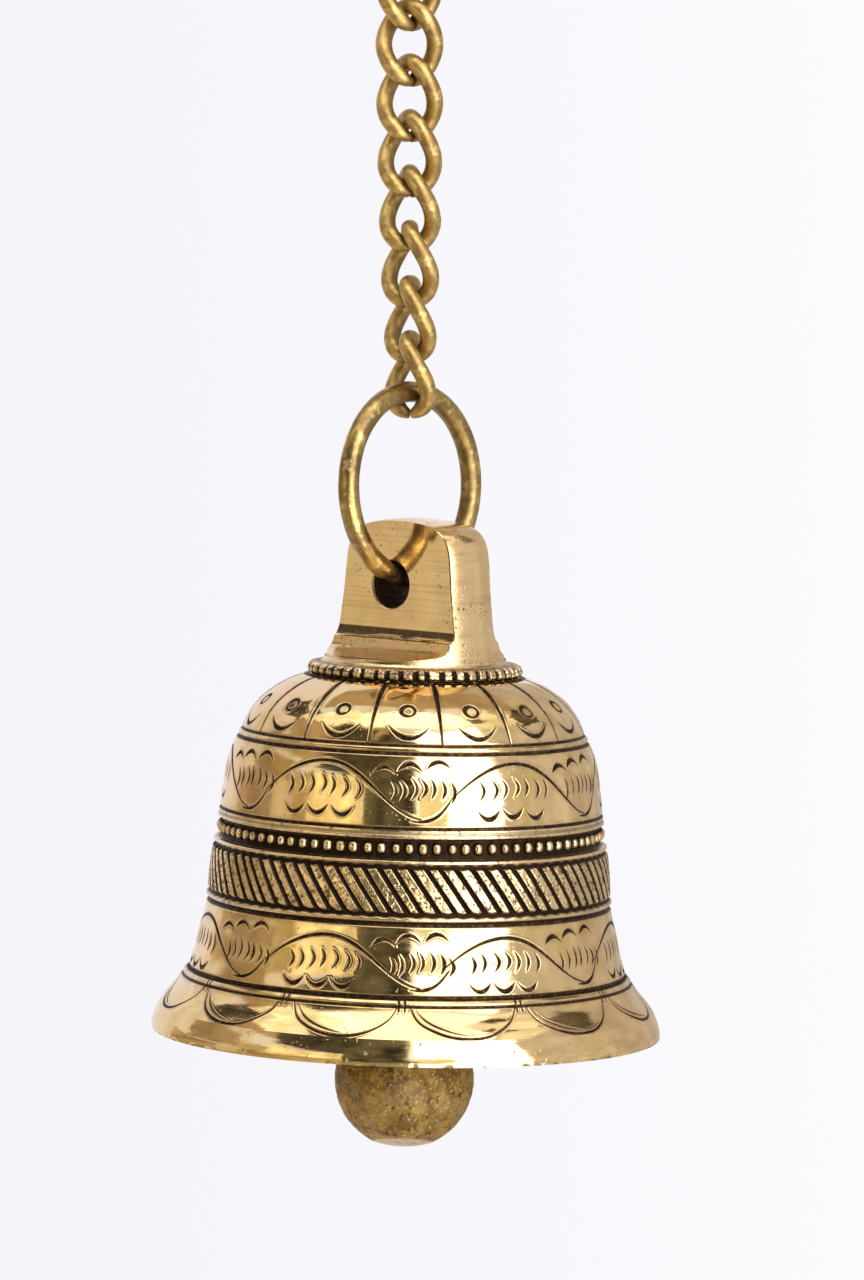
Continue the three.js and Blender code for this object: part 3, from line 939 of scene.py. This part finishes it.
def add_round_sides(points, faces, heights, radii, depths, widths, chamfers):
    """The two round sides, with a small chamfer where each meets a flat."""
    for side in (1, -1):
        rows = []
        for z, radius, depth, width, chamfer in zip(heights, radii, depths, widths, chamfers):
            edge = math.atan2(depth, width) - chamfer / radius
            angles = np.linspace(-edge, edge, 49)
            curve = [(side * radius * math.cos(a), side * radius * math.sin(a), z) for a in angles]
            low = (side * (width - chamfer), -side * depth, z)
            high = (side * (width - chamfer), side * depth, z)
            rows.append([low, *curve, high])
        add_strip(points, faces, rows)


def add_feet(points, faces, heights, depths, half_widths):
    """The concave foot and bowl below each flat."""
    for side in (1, -1):
        rows = []
        for z, depth, half_width in zip(heights, depths, half_widths):
            across = np.linspace(-half_width, half_width, 24) * -side
            rows.append([(x, side * depth, z) for x in across])
        add_strip(points, faces, rows)


def add_bore(points, faces):
    """The hole right through, with both of its rims worn round."""
    profile = BORE_PROFILE + [(-depth, radius) for depth, radius in BORE_PROFILE[-2::-1]]
    angles = np.linspace(0, 2 * math.pi, 73)
    rows = [
        [(-HOLE_OFFSET + r * math.cos(a), depth, HOLE_HEIGHT + r * math.sin(a)) for a in angles]
        for depth, r in profile
    ]
    add_strip(points, faces, rows)


def add_turned_part(points, faces, profile, columns):
    """A surface turned round the axis from a profile of (radius, height)."""
    angles = np.linspace(0, 2 * math.pi, columns)
    rows = [[(r * math.cos(a), r * math.sin(a), z) for a in angles] for r, z in profile]
    add_strip(points, faces, rows)


def pierced_flats(heights, half_widths):
    """Points and triangles of both flats, each with the hole left out."""
    angles = np.linspace(0, 2 * math.pi, 73)[:-1]
    worn = HOLE_RADIUS + WORN_RIM
    hole = [(-HOLE_OFFSET + worn * math.cos(a), HOLE_HEIGHT + worn * math.sin(a)) for a in angles]
    flat, inward = flat_with_hole(flat_outline(heights, half_widths), hole)
    corners, triangles = [], []
    for number, side in enumerate((1, -1)):
        y = np.full(len(flat), side * LUG_HALF_THICKNESS)
        corners.append(np.stack([flat[:, 0], y, flat[:, 1]], axis=1))
        order = inward if side < 0 else inward[:, ::-1]
        triangles.append(order + number * len(flat))
    return corners, triangles


def lug_mesh():
    """A tapered boss with a flat cut on two sides, a concave ledge under each and a hole through."""
    heights, radii, line = lug_heights()
    depths = np.array([lug_half_depth(z) for z in heights])
    widths = np.sqrt(np.clip(radii**2 - depths**2, 0, None))
    chamfers = np.minimum(CHAMFER, 0.45 * widths)
    half_widths = widths - chamfers
    foot = heights <= FLAT_FOOT + 1e-9
    flat = heights >= FLAT_FOOT - 1e-9
    points, faces = [], []
    add_round_sides(points, faces, heights, radii, depths, widths, chamfers)
    add_feet(points, faces, heights[foot], depths[foot], half_widths[foot])
    add_bore(points, faces)
    top = [(r, z) for r, z in line if z >= heights[-1]]
    top += [(r, LUG_TOP - 0.27 * (r / 4.5) ** 2) for r in np.linspace(4.2, 0.05, 14)]
    add_turned_part(points, faces, top, 97)
    below = [(r, z) for r, z in line if z <= heights[0] + 0.02]
    add_turned_part(points, faces, below, 193)
    corners, triangles = pierced_flats(heights[flat], half_widths[flat])
    return points, faces, corners, triangles


def lug_painted_shade(mesh):
    """Painted shade inside the hole, and a painted dark reflection with a ragged lower edge in the
    corner above each ledge.
    """
    spots = np.array([v.co for v in mesh.vertices]) / MM
    x, y, z = spots.T
    in_bore = (np.hypot(x + HOLE_OFFSET, z - HOLE_HEIGHT) < HOLE_RADIUS + 0.1) & (np.abs(y) < 4.3)
    ragged = 0.45 + 0.35 * lattice_noise(spots * (1, 0, 0), 2.2, 97)
    depth = np.array([lug_half_depth(height) for height in z])
    # Painted dark reflection in the concave foot above the ledge.
    in_foot = (z > LEDGE_HEIGHT + ragged) & (z < FLAT_FOOT - 0.05)
    in_foot &= np.abs(np.abs(y) - depth) < 0.05
    return np.where(in_bore, 1.0, 0.9 * in_foot)


def build_lug():
    """Joins the lug's quads and triangles, welds them and keeps the cut edges crisp."""
    points, faces, corners, triangles = lug_mesh()
    mesh = bpy.data.meshes.new("bell_lug")
    quads = [tuple(int(i) for i in face) for block in faces for face in block]
    offset = sum(len(p) for p in points)
    quads += [tuple(int(i) + offset for i in face) for block in triangles for face in block]
    spots = np.concatenate(points + corners) * MM
    mesh.from_pydata([tuple(p) for p in spots], [], quads)
    shape = bmesh.new()
    shape.from_mesh(mesh)
    bmesh.ops.remove_doubles(shape, verts=shape.verts, dist=0.00002)
    bmesh.ops.recalc_face_normals(shape, faces=shape.faces)
    shape.to_mesh(mesh)
    shape.free()
    mesh.shade_smooth()
    mesh.set_sharp_from_angle(angle=math.radians(24))
    # The lug's patina layer is painted shade in the hole and a painted dark reflection above each
    # ledge.
    set_layer(mesh, "patina", lug_painted_shade(mesh))
    turned = polished_brass(
        "lug_turned_brass", film=0.6, gloss=0.17, waves=0.06, streaks=(60, 60, 700), pitting=0.58
    )
    flat = polished_brass(
        "lug_flat_brass",
        grain=(1500, 1500, 60),
        film=0.45,
        waves=0.12,
        sweep=(220, 220, 60),
        streaks=(45, 45, 2300),
        pitting=0.63,
    )
    place("bell_lug", mesh, BELL, turned, "bell", "bell_casting")
    mesh.materials.append(flat)
    for face in mesh.polygons:
        _, y, z = face.center / MM
        face.material_index = int(z > LEDGE_HEIGHT and abs(abs(y) - lug_half_depth(z)) < 0.05)


# ---------------------------------------------------------------------------
# Wires
# ---------------------------------------------------------------------------


def wire_axes(line, hub):
    """Unit vectors ahead along a wire, away from its hub, and square to both."""
    ahead = np.gradient(line, axis=0)
    ahead /= np.linalg.norm(ahead, axis=1, keepdims=True)
    outward = np.tile((0.31, 0.17, 0.93), (len(line), 1)) if hub is None else line - np.asarray(hub)
    normal = outward - (outward * ahead).sum(1, keepdims=True) * ahead
    normal /= np.linalg.norm(normal, axis=1, keepdims=True)
    return ahead, normal, np.cross(ahead, normal)


def fan(ring, tip):
    """Triangles from each step of a ring of points to one tip."""
    return [(int(a), int(b), tip) for a, b in zip(ring, np.roll(ring, -1))]


def wire_mesh(
    name, line, radius, sides=24, chisel=(1.0, 1.0), hub=None, wobble=0.0, droop=0.0, seed=0
):
    """A round wire along a line, with rough dents of about wobble millimetres.

    Its ends thin to the chisel's shares of the radius and hang by droop. The side towards hub, where
    there is one, is darkened as painted shade, and the ends are darkened by dirt and by painted shade
    where wires meet.
    """
    line = np.asarray(line, float)
    ahead, normal, side = wire_axes(line, hub)
    along = np.r_[0, np.cumsum(np.linalg.norm(np.diff(line, axis=0), axis=1))]
    from_end = np.minimum(along, along[-1] - along)
    pinch = np.clip(1 - from_end / (1.3 * radius), 0, 1) ** 1.5
    thick = radius * (1 - (1 - chisel[0]) * pinch)
    broad = radius * (1 - (1 - chisel[1]) * pinch)
    if droop:
        line = line + pinch[:, None] * np.array([0, 0, -droop])
    around = np.arange(sides) / sides * 2 * math.pi
    offset = np.cos(around)[None, :, None] * normal[:, None] * thick[:, None, None]
    offset = offset + np.sin(around)[None, :, None] * side[:, None] * broad[:, None, None]
    points = line[:, None] + offset
    if wobble:
        rough = lattice_noise(points, 1.8, seed) + 0.5 * lattice_noise(points, 0.8, seed + 1)
        points = points + offset / radius * (wobble * rough)[..., None]
    # Painted shade on the side towards the hub; dirt and painted shade near the ends, where wires meet.
    shade_towards_hub = 0 if hub is None else np.clip(-np.cos(around), 0, 1)[None, :]
    near_end = np.clip(1 - from_end / (1.2 * radius), 0, 1)[:, None]
    patina = np.clip(0.55 * shade_towards_hub + 0.5 * near_end + np.zeros((len(line), sides)), 0, 1)
    tips = np.stack([line[0] - 0.05 * ahead[0], line[-1] + 0.05 * ahead[-1]])
    count = len(line) * sides
    faces = [tuple(int(i) for i in face) for face in grid_faces(len(line), sides)]
    faces += [(b, a, tip) for a, b, tip in fan(np.arange(sides), count)]
    faces += fan(np.arange(count - sides, count), count + 1)
    mesh = bpy.data.meshes.new(name)
    spots = np.concatenate([points.reshape(-1, 3), tips]) * MM
    mesh.from_pydata([tuple(p) for p in spots], [], faces)
    mesh.shade_smooth()
    mesh.set_sharp_from_angle(angle=math.radians(50))
    # The "patina" layer of a wire holds this painted shade and dirt.
    set_layer(mesh, "patina", np.r_[patina.ravel(), 0.6, 0.6])
    return mesh


def link_line(steps):
    """An oval whose plane turns about its long axis on the way from its bottom joint up and back."""
    half_joint = LINK_JOINT_GAP / 2 / LINK_HALF_WIDTH
    angle = -math.pi / 2 + half_joint + np.linspace(0, 1, steps) * 2 * (math.pi - half_joint)
    across = np.cos(angle)
    side = LINK_HALF_WIDTH * np.sign(across) * np.abs(across) ** (2 / LINK_BLUNTNESS)
    up = np.sin(angle)
    bearing = -math.radians(LINK_HALF_TWIST) * up
    return np.stack([side * np.cos(bearing), side * np.sin(bearing), LINK_HALF_LENGTH * up], axis=1)


def build_chain(material):
    seat = JOINTS["link_01_swing"]["pos_m"][2] / MM
    pitch = 2 * (LINK_HALF_LENGTH - LINK_WIRE) - HANGING_GAP
    top_centre = seat + HOOK_WIRE + LINK_WIRE + HANGING_GAP - LINK_HALF_LENGTH
    line = link_line(150)
    for index, bearing in enumerate(LINK_BEARINGS):
        body = f"link_{index + 1:02d}"
        name = f"{body}_wire"
        mesh = wire_mesh(
            name,
            line,
            LINK_WIRE,
            chisel=(0.6, 0.95),
            hub=(0, 0, 0),
            wobble=WIRE_WOBBLE,
            droop=0.35,
            seed=index * 3,
        )
        matrix = shift(0, 0, top_centre - index * pitch) @ turn(bearing, "Z")
        place(name, mesh, matrix, material, body, f"chain_{body}")


def build_ring(material):
    half_joint = RING_JOINT_GAP / 2 / RING_BEND
    joint = -math.pi / 2 - math.asin(LUG_HALF_THICKNESS / RING_BEND)
    way_round = np.linspace(0, 1, 300)
    angle = joint + half_joint + way_round * 2 * (math.pi - half_joint)
    line = np.stack([0 * angle, RING_BEND * np.cos(angle), RING_BEND * np.sin(angle)], axis=1)
    mesh = wire_mesh(
        "ring_wire",
        line,
        RING_WIRE,
        sides=32,
        chisel=(0.7, 0.95),
        hub=(0, 0, 0),
        wobble=WIRE_WOBBLE,
        seed=40,
    )
    matrix = Matrix.Translation(PIVOT) @ shift(0, 0, RING_BEND) @ turn(LUG_BEARING, "Z")
    place("ring_wire", mesh, matrix, material, "ring", "suspension_ring")


def build_hook(material):
    centre = HOOK_WIRE - HOOK_BEND
    eye = centre - HOOK_BEND - HOOK_EYE
    upper = np.radians(np.linspace(HOOK_MOUTH_ANGLE, -90, 150))
    lower = np.radians(np.linspace(90, HOOK_EYE_END_ANGLE, 110))[1:]
    y = np.r_[HOOK_BEND * np.cos(upper), HOOK_EYE * np.cos(lower)]
    z = np.r_[centre + HOOK_BEND * np.sin(upper), eye + HOOK_EYE * np.sin(lower)]
    line = np.stack([0 * y, y, z], axis=1)
    mesh = wire_mesh(
        "hook_wire", line, HOOK_WIRE, sides=28, chisel=(0.75, 0.75), wobble=WIRE_WOBBLE, seed=50
    )
    place("hook_wire", mesh, Matrix.Identity(4), material, "hook", "top_hook")


def arc(centre, radius, start, end, count):
    angle = np.radians(np.linspace(start, end, count))
    return [(centre[0] + radius * math.cos(a), centre[1] + radius * math.sin(a)) for a in angle]


def build_clapper(material):
    bend = arc((0, STAPLE_HEIGHT + STAPLE_BEND), STAPLE_BEND, 180, 360, 9)
    outline = [(-STAPLE_BEND, STAPLE_LEG_END), *bend, (STAPLE_BEND, STAPLE_LEG_END)]
    line = smooth_line(outline, 0.25)
    line = np.stack([0 * line[:, 0], line[:, 0], line[:, 1]], axis=1)
    staple = wire_mesh("staple_wire", line, STAPLE_WIRE, wobble=0.02, seed=60)
    place("staple_wire", staple, BELL, material, "bell", "crown_staple")

    eye_height = STAPLE_HEIGHT + STAPLE_WIRE + ROD_WIRE + HANGING_GAP - ROD_EYE
    shoulder = eye_height - 3 * ROD_EYE
    eye = arc((0, eye_height), ROD_EYE, 180, -50, 10)
    outline = [(0, ROD_FOOT), (0, (ROD_FOOT + shoulder) / 2), (0, shoulder), *eye]
    line = smooth_line(outline, 0.3)
    line = np.stack([line[:, 0], 0 * line[:, 0], line[:, 1]], axis=1)
    rod = wire_mesh("clapper_shank", line, ROD_WIRE, wobble=0.02, seed=70)
    place("clapper_shank", rod, BELL, material, "clapper", "clapper_rod")


# Flats filed on the ball: lean to the right and to the viewer in degrees, distance from the centre
# in millimetres, and the share of the round that is left standing above it.
FILED_FLATS = [(0, 0, 10.3, 0.3), (0, 14.5, 9.44, 0.7), (-40, 0, 10.2, 0)]


def build_ball():
    """A cast ball with a rough skin, filed flat underneath and in two more places."""
    skin = arc((0, BALL_CENTRE), BALL_RADIUS, -89.5, 84, 190)
    profile = np.array(skin + [(1.1, BALL_CENTRE + 9)])
    sides = 256
    around = np.arange(sides) / sides * 2 * math.pi
    points = np.stack(
        [
            profile[:, :1] * np.sin(around),
            -profile[:, :1] * np.cos(around),
            profile[:, 1:] - BALL_CENTRE + 0 * around,
        ],
        axis=-1,
    )
    outward = points / np.linalg.norm(points, axis=-1, keepdims=True)
    rough = 0.06 * lattice_noise(points, 3.1, 80) + 0.05 * lattice_noise(points, 1.1, 81)
    rough = rough + 0.04 * lattice_noise(points, 0.5, 82)
    rough = rough - 0.14 * np.clip(lattice_noise(points, 0.9, 83) - 0.45, 0, 1)
    points = points + outward * (rough - 0.08)[..., None]
    worn = np.zeros(points.shape[:2])
    for to_right, to_viewer, depth, left_round in FILED_FLATS:
        facing = Vector((0, 0, -1))
        facing.rotate(turn(-to_viewer, "X").to_3x3() @ turn(-to_right, "Y").to_3x3())
        reach = points @ np.array(facing)
        over = reach > depth
        points[over] *= (1 - (1 - left_round) * (1 - depth / reach[over]))[:, None]
        worn = np.maximum(worn, over)
    points[..., 2] += BALL_CENTRE
    faces = grid_faces(len(profile), sides)
    mesh = make_mesh("clapper_weight", points, faces, crease=60, worn=worn)
    material = cast_brass("cast_ball_brass")
    place("clapper_weight", mesh, FACING, material, "clapper", "clapper_ball")


# ---------------------------------------------------------------------------
# Studio
# ---------------------------------------------------------------------------


def glow(name, colour, strength, mottle):
    """A glowing cloth, unevenly lit by mottle of its strength either way."""
    material = bpy.data.materials.new(name)
    material.use_nodes = True
    nodes, links = material.node_tree.nodes, material.node_tree.links
    nodes.clear()
    clouds = nodes.new("ShaderNodeTexNoise")
    clouds.inputs["Scale"].default_value = 7
    clouds.inputs["Detail"].default_value = 5
    links.new(nodes.new("ShaderNodeTexCoord").outputs["Object"], clouds.inputs["Vector"])
    level = nodes.new("ShaderNodeMapRange")
    level.inputs["From Min"].default_value = 0.35
    level.inputs["From Max"].default_value = 0.65
    level.inputs["To Min"].default_value = strength * (1 - mottle)
    level.inputs["To Max"].default_value = strength * (1 + mottle)
    links.new(clouds.outputs["Fac"], level.inputs["Value"])
    lamp = nodes.new("ShaderNodeEmission")
    lamp.inputs["Color"].default_value = colour
    links.new(level.outputs["Result"], lamp.inputs["Strength"])
    out = nodes.new("ShaderNodeOutputMaterial")
    links.new(lamp.outputs["Emission"], out.inputs["Surface"])
    return material


# Colours of the studio's cloths, by name.
TINTS = {
    "white": (1, 1, 1),
    "milk": (1.0, 0.98, 0.88),
    "plain": (1.0, 0.95, 0.89),
    "cream": (1.0, 0.95, 0.8),
    "rose": (1.0, 0.92, 0.84),
    "tan": (1.0, 0.9, 0.68),
    "gold": (1.0, 0.92, 0.6),
    "honey": (1.0, 0.87, 0.54),
    "straw": (1.0, 0.94, 0.62),
    "warm": (1.0, 0.83, 0.48),
    "olive": (0.95, 0.93, 0.62),
    "amber": (1.0, 0.82, 0.58),
    "umber": (1.0, 0.9, 0.72),
    "brown": (1.0, 0.76, 0.48),
    "rust": (1.0, 0.8, 0.6),
}
# The cloths round the bell: name, azimuths, elevations, distance, strength, tint, slant, sway and
# mottle, as screen() takes them. The nearer of two that overlap is the one that is reflected.
SCREENS = [
    ("soft_box", (4, 57), (-30, 50), 800, 3.8, "white", 0, 0, 0),
    ("top_light", (-70, 66), (54, 84), 800, 2.2, "milk", 0, 0, 0.1),
    ("box_edge", (3, 21), (-5, 17), 792, 0.95, "gold", 0, 2, 0.3),
    ("zenith", (-180, 180), (84, 89.5), 800, 0.5, "amber", 0, 0, 0.3),
    ("back_top", (118, 242), (52, 84), 800, 0.48, "brown", 0, 0, 0.15),
    ("viewer_shade", (-26, 4), (-11, 46), 780, 0.1, "straw", -8, 2.5, 0.7),
    ("viewer_low", (-28, 5), (-45, 0), 790, 0.36, "olive", 0, 0, 0.15),
    ("high_shade", (-64, -24), (24, 44), 785, 0.08, "umber", 5, 2, 0.5),
    ("high_left", (-102, -16), (28, 52), 800, 0.46, "brown", 0, 0, 0.15),
    ("high_corner", (-62, -33), (31, 50), 782, 0.08, "umber", 0, 2, 0.5),
    ("skirt_shade_left", (-133, -102), (31, 50), 795, 0.09, "rust", -6, 3, 0.6),
    ("skirt_shade_right", (97, 123), (37, 53), 795, 0.1, "rust", 5, 3, 0.6),
    ("top_right_shade", (63, 82), (55, 65), 795, 0.14, "rust", 0, 2, 0.5),
    ("flat_tone", (-92, -76), (-12, 14), 850, 0.68, "tan", 0, 0, 0.12),
    ("lip_shade", (-114, -80), (6, 24), 840, 0.36, "brown", -4, 2, 0.3),
    ("lip_low_shade", (-130, -58), (-16, 6), 860, 0.44, "brown", -2, 2, 0.3),
    ("skirt_glow_left", (-104, -62), (43, 70), 798, 1.3, "cream", 0, 3, 0.25),
    ("skirt_glow_right", (64, 106), (46, 72), 798, 1.25, "cream", 0, 3, 0.25),
    ("left_near", (-82, -16), (-50, 17), 900, 0.56, "warm", 0, 0, 0.15),
    ("left_glow", (-66, -22), (0, 19), 790, 1.2, "honey", -3, 2, 0.35),
    ("left_far", (-138, -82), (-50, 29), 900, 0.8, "plain", 0, 0, 0.1),
    ("right_near", (57, 108), (-50, 52), 900, 0.68, "plain", 0, 0, 0.15),
    ("right_far", (108, 172), (-50, 60), 900, 0.58, "rose", 0, 0, 0.15),
]
# The backdrop on either side, and how far from the middle of the view it changes from one to the other.
WORLD_LEFT = rgb(0.885, 0.875, 0.93)
WORLD_RIGHT = rgb(0.985, 0.98, 1.0)
WORLD_SPREAD = 0.12
# The floor's half width, how far it lies below the bell's mouth, and the mouth's height in the frame.
FLOOR_HALF_WIDTH = 2600
FLOOR_DROP = 900
MOUTH_HEIGHT = -197


def screen(name, azimuth, elevation, distance, strength, tint, slant, sway, mottle):
    """Part of a sphere round the bell that lights it, or shades it, without being seen itself.

    Azimuth is in degrees to the right of the viewer as the bell sees it. Slant is how far the lower
    edge drops from left to right, and sway how far the sides wander, both in degrees. Mottle is the
    share by which the strength varies.
    """
    rows, columns = 17, 33
    across = np.linspace(0, 1, columns)[None, :]
    upward = np.linspace(0, 1, rows)[:, None]
    lowest = elevation[0] - slant * across
    elevations = np.radians(lowest + (elevation[1] - lowest) * upward)
    azimuths = np.radians(azimuth[0] + (azimuth[1] - azimuth[0]) * across)
    ragged = np.sin(9 * upward + azimuth[0] + 2.5 * np.sin(5 * upward))
    azimuths = azimuths + math.radians(sway) * ragged
    points = np.stack(
        [
            distance * np.sin(azimuths) * np.cos(elevations),
            -distance * np.cos(azimuths) * np.cos(elevations),
            30 + distance * np.sin(elevations),
        ],
        axis=-1,
    )
    mesh = make_mesh(name, points, grid_faces(rows, columns, closed=False))
    mesh.materials.append(glow(name, rgb(*TINTS[tint]), strength, mottle))
    panel = add_object(name, mesh, FACING)
    panel.visible_camera = False


def build_world():
    """A pale backdrop, a little brighter towards +X, which is the viewer's right."""
    world = bpy.data.worlds.new("studio")
    world.use_nodes = True
    nodes, links = world.node_tree.nodes, world.node_tree.links
    direction = nodes.new("ShaderNodeTexCoord").outputs["Generated"]
    split = nodes.new("ShaderNodeSeparateXYZ")
    across = nodes.new("ShaderNodeMapRange")
    across.inputs["From Min"].default_value = -WORLD_SPREAD
    across.inputs["From Max"].default_value = WORLD_SPREAD
    tone = nodes.new("ShaderNodeMix")
    tone.data_type = "RGBA"
    tone.inputs[6].default_value = WORLD_LEFT
    tone.inputs[7].default_value = WORLD_RIGHT
    links.new(direction, split.inputs[0])
    links.new(split.outputs["X"], across.inputs["Value"])
    links.new(across.outputs["Result"], tone.inputs[0])
    links.new(tone.outputs[2], nodes["Background"].inputs["Color"])
    bpy.context.scene.world = world


def build_floor():
    """A pale floor, far enough below the bell to be out of its way from every side."""
    corners = [(-1, -1), (1, -1), (1, 1), (-1, 1)]
    points = [(FLOOR_HALF_WIDTH * x, FLOOR_HALF_WIDTH * y, -FLOOR_DROP) for x, y in corners]
    mesh = make_mesh("floor", points, [(0, 1, 2, 3)])
    r = Recipe("pale_floor")
    tone = r.blend(r.noise(6.0, 3.0), rgb(0.84, 0.835, 0.87), rgb(0.88, 0.875, 0.91))
    mesh.materials.append(r.out(Base_Color=tone, Roughness=0.8))
    floor = add_object("floor", mesh, shift(0, 0, MOUTH_HEIGHT))


# The lens is for a 36 mm sensor; the camera stands in the frame that faces the viewer.
CAMERA_LENS = 160.76
CAMERA_PLACE = (2.42, -849.4, 121.05)
CAMERA_DIP = 4.197
CAMERA_ROLL = 1.516


def build_camera():
    lens = bpy.data.cameras.new("view")
    lens.lens = CAMERA_LENS
    lens.sensor_width = 36
    stand = shift(*CAMERA_PLACE) @ turn(90 - CAMERA_DIP, "X") @ turn(CAMERA_ROLL, "Z")
    bpy.context.scene.camera = add_object("view", lens, FACING @ stand)


# ---------------------------------------------------------------------------
# Everything together
# ---------------------------------------------------------------------------

chain_brass = wire_brass(
    "chain_wire_brass",
    light=rgb(0.66, 0.46, 0.17),
    deep=rgb(0.46, 0.31, 0.105),
    stain=rgb(0.28, 0.17, 0.07),
    dull=0.34,
)
ring_brass = wire_brass(
    "ring_wire_brass",
    light=rgb(0.56, 0.40, 0.145),
    deep=rgb(0.30, 0.20, 0.08),
    stain=rgb(0.19, 0.12, 0.06),
    dull=0.24,
)
build_wall()
build_lug()
build_chain(chain_brass)
build_ring(ring_brass)
build_hook(chain_brass)
build_clapper(ring_brass)
build_ball()
build_world()
for row in SCREENS:
    screen(*row)
build_floor()
build_camera()
bpy.context.scene.view_settings.view_transform = "Standard"
